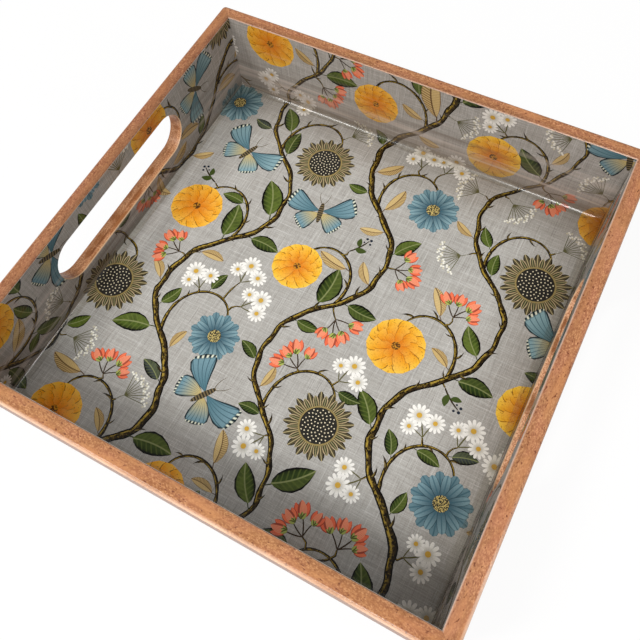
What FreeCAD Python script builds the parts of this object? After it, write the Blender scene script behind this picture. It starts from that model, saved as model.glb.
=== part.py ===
import FreeCAD, Part
import math
import os

# A square serving tray: four mitred hardwood boards around a flush base panel, lined inside
# with five printed sheets, the floor sealed under a poured clear coat.
# Frame: origin at the centre of the underside, +Z up, +X towards the right board,
# +Y towards the back board. The two hand slots are in the left and right boards.
# All lengths are in millimetres.

# ---- driving dimensions -------------------------------------------------------------------
OUTER = 300.0               # outside length of each side
HEIGHT = 66.0               # underside to rim
BOARD = 9.5                 # thickness of the four boards

BASE_THICK = 5.0            # base panel
PAPER = 0.2                 # printed lining sheet
COAT = 0.5                  # poured clear coat over the floor sheet
COAT_FILM = 0.12            # thickness of the coat where it climbs the walls
COAT_CLIMB = 4.2            # radius of the hollow that the coat forms along the walls

REBATE = BOARD / 2.0        # how far the base panel runs in under the boards

CORNER_RADIUS = 3.0         # outer upright corners
RIM_RADIUS = 2.4            # outer arris of the rim
FOOT_RADIUS = 0.8           # outer arris of the underside
INNER_EASE = 0.4            # inner arris of the rim

SLOT_LENGTH = 134.0         # hand slot, round end to round end
SLOT_HEIGHT = 31.6
SLOT_BELOW_RIM = 28.5       # from the rim down to the slot's middle
SLOT_OUTER_EASE = 0.6       # rounding of the slot's outer mouth
SLOT_INNER_EASE = 0.4       # rounding of its inner mouth

PIN_RADIUS = 0.6            # panel pins
PIN_HEAD_RADIUS = 1.0
PIN_HEAD_THICK = 0.5
CORNER_PIN_LENGTH = 20.0
CORNER_PINS_PER_CORNER = 3
CORNER_PIN_MARGIN = 13.0    # first and last pin from the underside and from the rim
FILL_DEPTH = 1.2            # filler over each sunk corner pin
BASE_PIN_LENGTH = 16.0
BASE_PINS_PER_SIDE = 5
BASE_PIN_MARGIN = 26.0      # first and last pin from the panel's edge

# ---- worked out from them -----------------------------------------------------------------
HALF = OUTER / 2.0
INNER = OUTER - 2.0 * BOARD
INNER_HALF = INNER / 2.0
BASE_SIDE = INNER + 2.0 * REBATE
SLOT_Z = HEIGHT - SLOT_BELOW_RIM
SHEET_TOP = HEIGHT - INNER_EASE
FLOOR_SHEET_TOP = BASE_THICK + PAPER
WALL_SHEET_HEIGHT = SHEET_TOP - FLOOR_SHEET_TOP
COAT_TOP = FLOOR_SHEET_TOP + COAT
LINED_HALF = INNER_HALF - PAPER

UP = FreeCAD.Vector(0, 0, 1)
ALONG_X = FreeCAD.Vector(1, 0, 0)


def centred_box(size_x, size_y, low_z, high_z):
    """A box centred on the Z axis."""
    corner = FreeCAD.Vector(-size_x / 2.0, -size_y / 2.0, low_z)
    return Part.makeBox(size_x, size_y, high_z - low_z, corner)


def edges_where(shape, test):
    """The edges all of whose sampled points pass the test."""
    found = []
    for edge in shape.Edges:
        points = edge.discretize(5)
        if all(test(point) for point in points):
            found.append(edge)
    return found


def stadium_prism(length, height, low_x, high_x):
    """A round-ended slot shape in the YZ plane, centred on the slot, run along X."""
    end = height / 2.0
    straight = length / 2.0 - end
    top_front = FreeCAD.Vector(low_x, -straight, SLOT_Z + end)
    top_back = FreeCAD.Vector(low_x, straight, SLOT_Z + end)
    tip_back = FreeCAD.Vector(low_x, straight + end, SLOT_Z)
    low_back = FreeCAD.Vector(low_x, straight, SLOT_Z - end)
    low_front = FreeCAD.Vector(low_x, -straight, SLOT_Z - end)
    tip_front = FreeCAD.Vector(low_x, -straight - end, SLOT_Z)
    outline = Part.Wire([
        Part.LineSegment(top_front, top_back).toShape(),
        Part.Arc(top_back, tip_back, low_back).toShape(),
        Part.LineSegment(low_back, low_front).toShape(),
        Part.Arc(low_front, tip_front, top_front).toShape(),
    ])
    return Part.Face(outline).extrude(FreeCAD.Vector(high_x - low_x, 0, 0))


def rounded_block():
    """The tray's outside, solid, with its corners, rim and foot rounded."""
    block = centred_box(OUTER, OUTER, 0.0, HEIGHT)
    corners = edges_where(block, lambda p: abs(abs(p.x) - HALF) < 1e-6 and abs(abs(p.y) - HALF) < 1e-6)
    block = block.makeFillet(CORNER_RADIUS, corners)
    rim = edges_where(block, lambda p: abs(p.z - HEIGHT) < 1e-6)
    block = block.makeFillet(RIM_RADIUS, rim)
    foot = edges_where(block, lambda p: abs(p.z) < 1e-6)
    return block.makeFillet(FOOT_RADIUS, foot)


def ease_slot_mouth(frame, face_x, radius):
    """Rounds the mouth of the hand slot that lies in the plane x = face_x."""
    reach = SLOT_LENGTH / 2.0 + 1.0
    band = SLOT_HEIGHT / 2.0 + 1.0

    def on_mouth(point):
        in_plane = abs(point.x - face_x) < 1e-6
        return in_plane and abs(point.y) < reach and abs(point.z - SLOT_Z) < band

    return frame.makeFillet(radius, edges_where(frame, on_mouth))


def board_frame():
    """The four boards in one ring, with the well, the rebate for the base and both slots."""
    frame = rounded_block()
    frame = frame.cut(centred_box(INNER, INNER, -1.0, HEIGHT + 1.0))
    frame = frame.cut(centred_box(BASE_SIDE, BASE_SIDE, -1.0, BASE_THICK))
    frame = frame.cut(stadium_prism(SLOT_LENGTH, SLOT_HEIGHT, -HALF - 1.0, HALF + 1.0))
    inner_rim = edges_where(frame, lambda p: abs(p.z - HEIGHT) < 1e-6 and abs(p.x) <= INNER_HALF + 1e-6
                            and abs(p.y) <= INNER_HALF + 1e-6)
    frame = frame.makeChamfer(INNER_EASE, inner_rim)
    for side in (-1.0, 1.0):
        frame = ease_slot_mouth(frame, side * HALF, SLOT_OUTER_EASE)
        frame = ease_slot_mouth(frame, side * INNER_HALF, SLOT_INNER_EASE)
    return frame


def quarter_wedge(turn):
    """The quarter of the tray between two mitre planes; turn 0 faces +X."""
    centre = FreeCAD.Vector(0, 0, -1.0)
    first = FreeCAD.Vector(OUTER, -OUTER, -1.0)
    second = FreeCAD.Vector(OUTER, OUTER, -1.0)
    wedge = Part.Face(Part.makePolygon([centre, first, second, centre])).extrude(UP * (HEIGHT + 2.0))
    wedge.rotate(FreeCAD.Vector(0, 0, 0), UP, turn)
    return wedge


def spread(count, low, high):
    """Evenly spaced places from low to high, both included."""
    step = (high - low) / (count - 1)
    return [low + step * i for i in range(count)]


def pin(length):
    """One panel pin along +X: its head starts at the origin."""
    head = Part.makeCylinder(PIN_HEAD_RADIUS, PIN_HEAD_THICK, FreeCAD.Vector(0, 0, 0), ALONG_X)
    shank = Part.makeCylinder(PIN_RADIUS, length, FreeCAD.Vector(0, 0, 0), ALONG_X)
    return head.fuse(shank).removeSplitter()


def corner_places():
    """(x, y, z, side) of each corner pin's hole mouth on the left and right boards."""
    heights = spread(CORNER_PINS_PER_CORNER, CORNER_PIN_MARGIN, HEIGHT - CORNER_PIN_MARGIN)
    places = []
    for side in (-1.0, 1.0):
        for end in (-1.0, 1.0):
            for height in heights:
                places.append((side * HALF, end * (HALF - BOARD / 2.0), height, side))
    return places


def placed_corner_pin(x, y, z, side):
    """A sunk pin driven from a side board's outer face into the end of the next board."""
    one = pin(CORNER_PIN_LENGTH)
    if side > 0:
        one.rotate(FreeCAD.Vector(0, 0, 0), UP, 180.0)
    one.translate(FreeCAD.Vector(x - side * FILL_DEPTH, y, z))
    return one


def placed_fill(x, y, z, side):
    """The plug of filler that levels the hole over a sunk pin."""
    return Part.makeCylinder(PIN_HEAD_RADIUS, FILL_DEPTH, FreeCAD.Vector(x, y, z), ALONG_X * -side)


def base_pins():
    """Pins driven up through the base panel into the step of each board."""
    line = INNER_HALF + REBATE / 2.0
    reach = BASE_SIDE / 2.0 - BASE_PIN_MARGIN
    pins = []
    for turn in (0.0, 90.0, 180.0, 270.0):
        for along in spread(BASE_PINS_PER_SIDE, -reach, reach):
            one = pin(BASE_PIN_LENGTH)
            one.rotate(FreeCAD.Vector(0, 0, 0), FreeCAD.Vector(0, 1, 0), -90.0)
            one.translate(FreeCAD.Vector(line, along, 0))
            one.rotate(FreeCAD.Vector(0, 0, 0), UP, turn)
            pins.append(one)
    return pins


def wall_sheet(side_name):
    """One printed sheet on a board's inner face. Side sheets run the full length and have the
    slot cut out; the front and back sheets stand between them."""
    if side_name in ("left", "right"):
        sheet = Part.makeBox(PAPER, INNER, WALL_SHEET_HEIGHT,
                             FreeCAD.Vector(LINED_HALF, -INNER_HALF, FLOOR_SHEET_TOP))
        hole = stadium_prism(SLOT_LENGTH + 2.0 * SLOT_INNER_EASE, SLOT_HEIGHT + 2.0 * SLOT_INNER_EASE,
                             LINED_HALF - 1.0, INNER_HALF + 1.0)
        sheet = sheet.cut(hole)
        turn = 0.0 if side_name == "right" else 180.0
    else:
        sheet = Part.makeBox(PAPER, 2.0 * LINED_HALF, WALL_SHEET_HEIGHT,
                             FreeCAD.Vector(LINED_HALF, -LINED_HALF, FLOOR_SHEET_TOP))
        turn = 90.0 if side_name == "back" else -90.0
    sheet.rotate(FreeCAD.Vector(0, 0, 0), UP, turn)
    return sheet


def floor_coat():
    """The poured clear coat, drawn up the walls in a small hollow all round."""
    block = centred_box(2.0 * LINED_HALF, 2.0 * LINED_HALF, FLOOR_SHEET_TOP, COAT_TOP + COAT_CLIMB)
    room = 2.0 * (LINED_HALF - COAT_FILM)
    hollow = centred_box(room, room, COAT_TOP, COAT_TOP + 4.0 * COAT_CLIMB)
    low_edges = edges_where(hollow, lambda p: abs(p.z - COAT_TOP) < 1e-6)
    hollow = hollow.makeFillet(COAT_CLIMB, low_edges)
    return block.cut(hollow)


def write(name, shape):
    """Writes one node and prints its solids and volume."""
    shape.exportStep("parts/" + name + ".step")
    print(name, "solids", len(shape.Solids), "volume mm3", round(shape.Volume, 1), "valid", shape.isValid())


def main():
    os.makedirs("parts", exist_ok=True)
    sunk_pins = [placed_corner_pin(*place) for place in corner_places()]
    fills = [placed_fill(*place) for place in corner_places()]
    up_pins = base_pins()
    hardware = Part.makeCompound(sunk_pins + fills + up_pins)

    frame = board_frame()
    for index, name in enumerate(("right_board", "back_board", "left_board", "front_board")):
        board = frame.common(quarter_wedge(90.0 * index))
        write(name, board.cut(hardware))

    base = centred_box(BASE_SIDE, BASE_SIDE, 0.0, BASE_THICK)
    write("base_panel", base.cut(hardware))
    write("floor_print", centred_box(INNER, INNER, BASE_THICK, FLOOR_SHEET_TOP))
    for side_name in ("left", "right", "front", "back"):
        write(side_name + "_print", wall_sheet(side_name))
    write("floor_coat", floor_coat())
    write("corner_pins", Part.makeCompound(sunk_pins))
    write("corner_pin_fills", Part.makeCompound(fills))
    write("base_pins", Part.makeCompound(up_pins))


main()
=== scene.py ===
# %% [markdown]
# A square serving tray: four lacquered hardwood boards round a flat base, lined inside with
# printed sheets that are sealed under a glossy clear coat. The construction model fixes every
# size; this lesson gives it its looks. First the imported model is loaded as a fixed frame. The
# finished looks may not grow past it.

# %% Load the frame
import math
import random
from contextlib import contextmanager

import bmesh
import bpy
import numpy as np
from mathutils import Matrix, Vector
from mathutils.geometry import delaunay_2d_cdt


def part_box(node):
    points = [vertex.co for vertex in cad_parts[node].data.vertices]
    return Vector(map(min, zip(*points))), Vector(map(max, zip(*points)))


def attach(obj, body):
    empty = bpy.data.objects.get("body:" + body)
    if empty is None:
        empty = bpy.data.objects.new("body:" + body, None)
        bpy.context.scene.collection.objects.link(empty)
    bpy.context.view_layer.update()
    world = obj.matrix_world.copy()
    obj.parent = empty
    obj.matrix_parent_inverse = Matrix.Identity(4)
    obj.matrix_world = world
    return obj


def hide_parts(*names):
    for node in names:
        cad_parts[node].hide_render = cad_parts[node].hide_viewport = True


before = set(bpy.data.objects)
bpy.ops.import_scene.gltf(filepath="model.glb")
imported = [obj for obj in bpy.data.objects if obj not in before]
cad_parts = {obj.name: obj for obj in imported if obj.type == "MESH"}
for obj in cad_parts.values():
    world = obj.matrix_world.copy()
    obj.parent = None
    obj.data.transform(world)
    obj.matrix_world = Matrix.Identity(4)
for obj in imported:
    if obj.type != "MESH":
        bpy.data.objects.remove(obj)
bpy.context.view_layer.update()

print("frame:", len(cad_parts), "nodes")

# %% [markdown]
# Every place below comes from the frame. The lining's faces, the rim and the hand slot are read
# from the boxes of the CAD nodes, so nothing has to be fitted by eye. The slot's hole is found
# from the points of the left sheet that don't lie on its outer edge.

# %% Read the tray's own measures
MM = 0.001
TOUCH = 0.01 * MM          # points nearer than this to an edge lie on it


def span(points):
    """The lowest and the highest corner of the box round some points."""
    return (Vector([min(p[i] for p in points) for i in range(3)]),
            Vector([max(p[i] for p in points) for i in range(3)]))


def hole_in_sheet(node):
    """The box of the hole in a wall sheet."""
    low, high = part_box(node)
    return span([p.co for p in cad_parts[node].data.vertices
                 if low.y + TOUCH < p.co.y < high.y - TOUCH and low.z + TOUCH < p.co.z < high.z - TOUCH])


RIM_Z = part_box("right_board")[1].z
OUTER_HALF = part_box("right_board")[1].x
FLOOR_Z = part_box("floor_print")[1].z
LINED_HALF = -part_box("left_print")[1].x
WALL_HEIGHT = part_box("left_print")[1].z - FLOOR_Z
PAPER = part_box("left_print")[1].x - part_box("left_print")[0].x
INNER_HALF = LINED_HALF + PAPER
SLOT_LOW, SLOT_HIGH = hole_in_sheet("left_print")
print("rim", round(RIM_Z, 4), "floor", round(FLOOR_Z, 4), "lined half", round(LINED_HALF, 4))
print("slot", [round(c, 4) for c in SLOT_LOW], [round(c, 4) for c in SLOT_HIGH])

# %% [markdown]
# The camera stands over the front right of the tray and looks steeply down and to the back left,
# a little rolled, so the tray runs out of the picture at three sides. Its place is written in
# inner sides of the tray, measured from the middle of the rim, and its direction as three plain
# angles, which read better than a matrix.

# %% Camera
CAMERA_PLACE = (0.3843, -0.5552, 1.1223)   # in inner sides, from the middle of the rim
CAMERA_TURN = 34.58                        # degrees from +Y towards -X
CAMERA_DOWN = 64.74                        # degrees below the horizon
CAMERA_ROLL = 7.22                         # degrees, the picture's right side dipping
CAMERA_LENS = 36.87                        # mm on a 36 mm sensor

camera_data = bpy.data.cameras.new("camera")
camera_data.lens = CAMERA_LENS
camera_data.sensor_width = 36.0
camera = bpy.data.objects.new("camera", camera_data)
camera.location = Vector((0.0, 0.0, RIM_Z)) + 2.0 * INNER_HALF * Vector(CAMERA_PLACE)
heading = Matrix.Rotation(math.radians(CAMERA_TURN), 4, "Z")
tilt = Matrix.Rotation(math.radians(90.0 - CAMERA_DOWN), 4, "X")
roll = Matrix.Rotation(math.radians(-CAMERA_ROLL), 4, "Z")
camera.rotation_mode = "QUATERNION"
camera.rotation_quaternion = (heading @ tilt @ roll).to_quaternion()
bpy.context.scene.collection.objects.link(camera)
bpy.context.scene.camera = camera
bpy.context.scene.view_settings.view_transform = "Standard"
print("camera at", [round(c, 3) for c in camera.location])

# %% [markdown]
# Node trees are long when each socket is wired by hand. Two small helpers make them short. A
# Tree adds a node, fills its sockets and hands back one output as a Wire. Wires can be added,
# multiplied and compared like numbers, and every such step adds a Math node, so a formula reads
# as a formula. The same helpers serve the materials and the Geometry Nodes trees. A colour of
# three numbers is a screen colour from 0 to 255, which is easy to picture; one of four numbers
# is linear light and stays as it is.

# %% Colours and wires
def paint(red, green, blue):
    """A screen colour, 0 to 255, as linear light."""
    def linear(c):
        c = c / 255.0
        return c / 12.92 if c <= 0.04045 else ((c + 0.055) / 1.055) ** 2.4
    return (linear(red), linear(green), linear(blue), 1.0)


class Wire:
    """The output of a node, which can be used in formulas."""

    def __init__(self, tree, socket):
        self.tree = tree
        self.socket = socket

    def __abs__(self):
        return self.tree.calc("ABSOLUTE", self)

    def __gt__(self, other):
        return self.tree.calc("GREATER_THAN", self, other)

    def fit(self, low, high, to_low=0.0, to_high=1.0, kind="LINEAR"):
        """to_low where the value is low, to_high where it is high, and evenly between."""
        return self.tree.add("ShaderNodeMapRange", {0: self, 1: low, 2: high, 3: to_low, 4: to_high},
                             interpolation_type=kind)

    def ease(self, low, high, to_low=0.0, to_high=1.0):
        """As fit, with a soft start and end."""
        return self.fit(low, high, to_low, to_high, "SMOOTHSTEP")

    def line(self, middle, width):
        """1 on a thin line where the value equals middle, 0 beyond width."""
        return abs(self - middle).fit(width * 0.5, width, 1.0, 0.0)

    def stripes(self, width):
        """Lines half-way between all whole numbers."""
        return self.tree.calc("FRACT", self).line(0.5, width)

    def blend(self, share, colour, mode="MIX"):
        """This colour with a share of another laid over it."""
        return self.tree.mix(share, self, colour, mode)

    def layers(self, *coats):
        """This colour with several others over it in turn, each given as (share, colour)."""
        result = self
        for share, colour in coats:
            result = result.blend(share, colour)
        return result


def add_sign(sign, operation):
    """Teaches wires one sign, such as + by its name add, with a wire on either side of it."""
    setattr(Wire, "__" + sign + "__", lambda wire, other: wire.tree.calc(operation, wire, other))
    setattr(Wire, "__r" + sign + "__", lambda wire, other: wire.tree.calc(operation, other, wire))


SIGNS = {"add": "ADD", "sub": "SUBTRACT", "mul": "MULTIPLY", "truediv": "DIVIDE", "pow": "POWER"}
for sign, operation in SIGNS.items():
    add_sign(sign, operation)
print("a middle grey is", round(paint(128, 128, 128)[0], 3), "in linear light")

# %% [markdown]
# The Tree comes next, and after it the Finish, which is the tree of one material. Its skin is
# the Principled shader that every new material has, and whose sockets are set by their names.

# %% Tree and Finish
class Tree:
    """Adds nodes to one tree."""

    def __init__(self, tree):
        self.nodes = tree.nodes
        self.links = tree.links

    def put(self, socket, value):
        if isinstance(value, Wire):
            self.links.new(value.socket, socket)
        elif socket.type == "RGBA" and len(value) == 3:
            socket.default_value = paint(*value)
        else:
            socket.default_value = value

    def add(self, kind, inputs=None, output=0, **settings):
        node = self.nodes.new(kind)
        for name, setting in settings.items():
            setattr(node, name, setting)
        for key, value in (inputs or {}).items():
            self.put(node.inputs[key], value)
        return Wire(self, node.outputs[output])

    def calc(self, operation, a, b=0.0, c=0.0):
        return self.add("ShaderNodeMath", {0: a, 1: b, 2: c}, operation=operation)

    def most(self, first, *others):
        """The largest of some values."""
        for other in others:
            first = self.calc("MAXIMUM", first, other)
        return first

    def mix(self, share, first, second, mode="MIX"):
        return self.add("ShaderNodeMix", {0: share, 6: first, 7: second}, 2, data_type="RGBA",
                        blend_type=mode)

    def split(self, vector):
        node = self.nodes.new("ShaderNodeSeparateXYZ")
        self.put(node.inputs[0], vector)
        return [Wire(self, socket) for socket in node.outputs]

    def join(self, x, y, z):
        return self.add("ShaderNodeCombineXYZ", {0: x, 1: y, 2: z})

    def stretch(self, vector, scale, move=(0.0, 0.0, 0.0), turn=0.0):
        """Scaled, moved, and turned about Z by some degrees."""
        return self.add("ShaderNodeMapping", {"Vector": vector, "Scale": scale, "Location": move,
                                              "Rotation": (0.0, 0.0, math.radians(turn))})

    def noise(self, vector, scale=1.0, detail=2.0, roughness=0.5):
        return self.add("ShaderNodeTexNoise", {"Vector": vector, "Scale": scale, "Detail": detail,
                                               "Roughness": roughness})

    def ray(self, kind):
        """1 for rays of one kind, 0 for all others."""
        return self.add("ShaderNodeLightPath", output="Is " + kind + " Ray")


class Finish(Tree):
    """A material's tree, with its Principled shader as skin."""

    def __init__(self, name):
        self.material = bpy.data.materials.new(name)
        self.material.use_nodes = True
        super().__init__(self.material.node_tree)
        self.skin = self.nodes["Principled BSDF"]

    def set(self, **values):
        """Sets the skin's sockets, base_color=... for 'Base Color', and gives back the material."""
        words = {"coat_ior": "Coat IOR", "specular": "Specular IOR Level"}
        for name, value in values.items():
            self.put(self.skin.inputs[words.get(name, name.replace("_", " ").title())], value)
        return self.material

    def end(self, shader):
        """Shows another shader in place of the skin."""
        self.put(self.nodes["Material Output"].inputs[0], shader)

    def places(self):
        return self.add("ShaderNodeTexCoord", output="Object")

    def bump(self, height, strength, distance):
        return self.add("ShaderNodeBump", {"Height": height, "Strength": strength, "Distance": distance})


print("materials before the first finish:", len(bpy.data.materials))

# %% [markdown]
# A few more helpers are for meshes: one makes a mesh, one writes an attribute, one opens a mesh
# for BMesh work and writes it back. The last one makes an object for each finished piece of the
# tray, hides the CAD node that the piece stands for, and hangs it on the tray's one body.

# %% Mesh helpers
def new_mesh(name, points, faces=()):
    mesh = bpy.data.meshes.new(name)
    mesh.from_pydata(points, [], faces)
    return mesh


def note(mesh, name, kind, values, domain="POINT"):
    """Writes an attribute, a FLOAT or a FLOAT_VECTOR for each point, corner or face."""
    field = "value" if kind == "FLOAT" else "vector"
    mesh.attributes.new(name, kind, domain).data.foreach_set(field, np.ravel(values))


@contextmanager
def reshaped(mesh):
    """Opens a mesh for BMesh work and writes it back at the end."""
    work = bmesh.new()
    work.from_mesh(mesh)
    yield work
    work.to_mesh(mesh)
    work.free()


def link(name, data):
    """A new object in the scene."""
    thing = bpy.data.objects.new(name, data)
    bpy.context.scene.collection.objects.link(thing)
    return thing


def tray_piece(name, mesh, node):
    """A finished mesh that stands for a CAD node and rides on the tray."""
    piece = link(name, mesh)
    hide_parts(node)
    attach(piece, "root")
    print(name, "has", len(mesh.polygons), "faces")


# %% [markdown]
# The room is plain: a pale floor, two soft lamps of one size high at the front left and the front
# right, a small one low at the right side that draws the edges, and a sky that brightens softly
# towards the front, as a room does on its window side. To the camera the floor and the sky look
# white, which is done with Light Path and not with more light, so the tray's colours stay as
# they are written. Near the tray the floor keeps a share of its real shading, which fades out
# with the distance, so the tray's soft shadow still shows on it.

# %% Floor, lamps and sky
FLOOR_REACH = 6.0
FLOOR_DROP = 0.2 * MM      # keeps the floor just clear of the tray's underside
SHADOW_SHARE = 0.15        # how much of the floor's real shading the camera sees near the tray
SHADOW_REACH = 1.2         # and how far out this has faded to nothing
LAMP_AIM = Vector((0.0, 0.0, 0.03))
LAMP_COLOUR = (1.0, 0.985, 0.965)
LAMPS = {                  # place, width, height, watts
    "left_lamp": ((-1.1, -1.35, 2.2), 0.4, 0.8, 29.0),
    "right_lamp": ((0.18, -1.6, 2.2), 0.4, 0.8, 33.0),
    "side_lamp": ((1.6, 0.1, 0.8), 0.14, 0.5, 4.6),
}
FLOOR_GLOW = 1.045         # how bright the floor looks to the camera
WINDOW_WAY = (-0.3, -0.85, 0.43)           # the direction in which the sky is brightest
DIM_SKY = (0.3, 0.3, 0.31, 1.0)
BRIGHT_SKY = (0.88, 0.87, 0.86, 1.0)
WHITE = (1.0, 1.0, 1.0, 1.0)

ground = Finish("floor_white")
ground.set(base_color=(206, 206, 206), roughness=0.9, specular=0.1)
white_rays = ground.most(ground.ray("Camera"), ground.ray("Glossy"), ground.ray("Transmission"))
away = ground.add("ShaderNodeVectorMath", {0: ground.places()}, "Value", operation="LENGTH")
shaded = away.ease(SHADOW_REACH * 0.4, SHADOW_REACH, SHADOW_SHARE, 0.0)
glow = ground.add("ShaderNodeEmission", {"Color": WHITE, "Strength": FLOOR_GLOW})
skin = Wire(ground, ground.skin.outputs[0])
ground.end(ground.add("ShaderNodeMixShader", {0: white_rays * (1.0 - shaded), 1: skin, 2: glow}))

corners = [(x * FLOOR_REACH, y * FLOOR_REACH, -FLOOR_DROP)
           for x, y in ((-1, -1), (1, -1), (1, 1), (-1, 1))]
floor_mesh = new_mesh("floor", corners, [(0, 1, 2, 3)])
floor_mesh.materials.append(ground.material)
link("floor", floor_mesh)

for name, (place, width, height, watts) in LAMPS.items():
    data = bpy.data.lights.new(name, "AREA")
    data.shape = "RECTANGLE"
    data.size = width
    data.size_y = height
    data.energy = watts
    data.color = LAMP_COLOUR
    lamp = link(name, data)
    lamp.location = place
    lamp.rotation_mode = "QUATERNION"
    lamp.rotation_quaternion = (LAMP_AIM - Vector(place)).to_track_quat("-Z", "Y")

world = bpy.data.worlds.new("sky")
world.use_nodes = True
bpy.context.scene.world = world
sky = Tree(world.node_tree)
way = sky.add("ShaderNodeTexCoord", output="Generated")
to_window = sky.add("ShaderNodeVectorMath", {0: way, 1: WINDOW_WAY}, "Value", operation="DOT_PRODUCT")
room = sky.mix(to_window.ease(-0.2, 0.9), DIM_SKY, BRIGHT_SKY)
sky.put(sky.nodes["Background"].inputs["Color"], sky.mix(sky.ray("Camera"), room, WHITE))
sky.put(sky.nodes["Background"].inputs["Strength"], 1.0)
print("room: floor,", len(LAMPS), "lamps, sky")

# %% [markdown]
# The boards are a reddish-tan hardwood under a satin lacquer. Its growth rings are circles round
# the middle of the tree, which lies a little outside the outer face and wanders along the board.
# Clouds, streaks, flecks and pores are noises stretched along the grain. All of it is read from
# Object coordinates, so it runs through the wood as real grain does and meets at the mitres at a
# right angle. Each board has its own stretch of log and its own stain, because they are cut from
# different planks.

# %% Growth and figure
RING_WIDTH = 4.6 * MM
RING_DRIFT = 26.0 * MM     # how far the rings wander along the board
PITH_DEPTH = 14.0 * MM     # the middle of the tree, outside the outer face
PITH_LOW = 8.0 * MM
PITH_RISE = 50.0 * MM      # and how much higher it lies from board to board


class Board(Finish):
    """Wood with its grain along X or Y. shift picks the board's own stretch of log."""

    def __init__(self, name, grain_axis, shift):
        super().__init__(name)
        place = self.places()
        self.shift = shift
        self.log = self.stretch(place, (1.0, 1.0, 1.0), (shift, shift * 0.7, shift * 0.3),
                                0.0 if grain_axis == "X" else 90.0)
        self.x, self.y, self.z = self.split(place)
        wide_x, wide_y = abs(self.x), abs(self.y)
        self.from_mitre = abs(wide_x - wide_y)
        self.from_side = OUTER_HALF - self.most(wide_x, wide_y)
        self.from_inside = self.most(wide_x, wide_y) - INNER_HALF
        self.flank = self.from_side.fit(0.8 * MM, 0.2 * MM) * self.z.fit(*self.under_rim(1.0, 3.0))

    def under_rim(self, start, end):
        """Two heights, given in mm below the rim."""
        return RIM_Z - start * MM, RIM_Z - end * MM

    def grain(self, along, across, detail=2.0, roughness=0.5, start=(0.0, 0.0, 0.0)):
        """A noise with so many marks a metre along the board and across it."""
        return self.noise(self.stretch(self.log, (along, across, across), start), 1.0, detail, roughness)

    def on_flank(self, elsewhere, there):
        """One strength for the outer face and one for all the rest."""
        return self.flank.fit(0.0, 1.0, elsewhere, there)

    def rings(self):
        """The dark late wood of each year."""
        deep = self.from_side + PITH_DEPTH
        high = self.z - (PITH_LOW + PITH_RISE * self.shift)
        drift = self.grain(5.0, 16.0, 2.0, 0.4, (0.4, 0.8, 0.6))
        reach = self.calc("SQRT", deep * deep + high * high) + drift * RING_DRIFT
        return self.calc("SINE", reach * (2.0 * math.pi / RING_WIDTH)).fit(-0.2, 1.0)


def planed(wood, tone, stain, figure):
    """Bare stained wood. tone, 0 to 1, takes it towards the stain; figure is how strong its grain
    is. Returns its colour and the noises that its surface needs."""
    clouds = wood.grain(26.0, 70.0)
    streaks = wood.grain(14.0, 480.0, 2.0, 0.6)
    mottle = wood.grain(400.0, 760.0, 2.0, 0.6)
    grit = wood.grain(1000.0, 1500.0, 1.0, start=(0.2, 0.6, 0.1))
    blush = wood.grain(60.0, 150.0, start=(0.9, 0.2, 0.4))
    patches = wood.grain(34.0, 190.0, start=(0.8, 0.1, 0.3))
    vessels = wood.grain(70.0, 1300.0, 1.0, start=(0.5, 0.9, 0.7)).fit(0.58, 0.72, 0.0, 0.6)
    fine_pores = wood.grain(300.0, 1900.0, 1.0, start=(0.7, 0.4, 0.9)).fit(0.68, 0.76, 0.0, 0.4)
    flecks = wood.grain(520.0, 900.0, 1.0, start=(0.3, 0.1, 0.2)).fit(0.65, 0.71)
    pores = wood.most(flecks * wood.on_flank(0.85, 0.3), wood.most(vessels * wood.flank, fine_pores))
    pale = figure * (1.0 - 0.6 * tone)       # the pale marks are fainter on a darker board
    gritty = patches.fit(0.38, 0.6, 0.35, 1.0) * wood.on_flank(1.0, 0.35)
    body = wood.mix(clouds.fit(0.36, 0.66), (181, 128, 84), (166, 110, 70)).layers(
        (streaks.fit(0.4, 0.7, 0.0, 0.36 * figure), (136, 82, 54)),
        (blush.fit(0.42, 0.62, 0.0, 0.5), (186, 122, 94)),
        (mottle.fit(0.5, 0.66, 0.0, 0.35 * figure), (216, 156, 106)),
        (mottle.fit(0.5, 0.34, 0.0, 0.4 * figure), (138, 80, 52)),
        (wood.rings() * wood.on_flank(0.12, 0.5), (138, 84, 54)),
        (tone, stain),
        (patches.fit(0.5, 0.34) * wood.on_flank(pale * 0.4, pale * 0.15), (214, 150, 98)),
        (grit.fit(0.5, 0.68, 0.0, 0.55 * pale) * gritty, (228, 172, 124)),
        (grit.fit(0.5, 0.32, 0.0, 0.5 * figure) * gritty, (124, 70, 42)),
        (pores * (1.0 - 0.35 * tone), (100, 46, 26)))
    return body, clouds, streaks, mottle, grit, pores


print("rings every", round(RING_WIDTH / MM, 1), "mm")

# %% [markdown]
# Marks and painted light come next, and each is a narrow band measured from a face or from the
# rim: a hairline of glue at each mitre, which is the plane where x and y are equal in size; a
# painted highlight on the outer arris towards the front; a painted highlight on the inner arris,
# with a darker strip beside it that is strongest on the back and left boards; and painted shade
# on the outer face towards the foot. Inside the hand slots the wood is raw, with amber patches, a
# pale edge at the mouth and the marks of the cutter; its colours are given lit for the right
# board and shaded for the others, as painted light. Bands from formulas fit the boards exactly
# and need no unwrapping.

# %% Marks of making, painted highlights and painted shade
CUTTER_PITCH = 1.0 * MM    # the hand slot: the step of the cutter's marks
CUTTER_TRACK = 3.7 * MM    # how far they run from the inside
CUTTER_PAUSE = -30.0 * MM  # and where the cutter moved slowly
GLUE_LINE = (0.06 * MM, 0.22 * MM)
OUTER_ARRIS_HIGHLIGHT = (0.2 * MM, 2.2 * MM)
ARRIS_HIGHLIGHT_WIDTH = 0.9 * MM
INNER_STRIP = (4.6 * MM, 1.6 * MM)       # the strip beside the inner arris fades in from the first to the second
INNER_STRIP_TINT = (0.76, 0.77, 0.78, 1.0)
SLOT_MARGIN = (3.0 * MM, 2.0 * MM)   # the slot's mouth is eased, so its raw wood reaches this far


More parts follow.
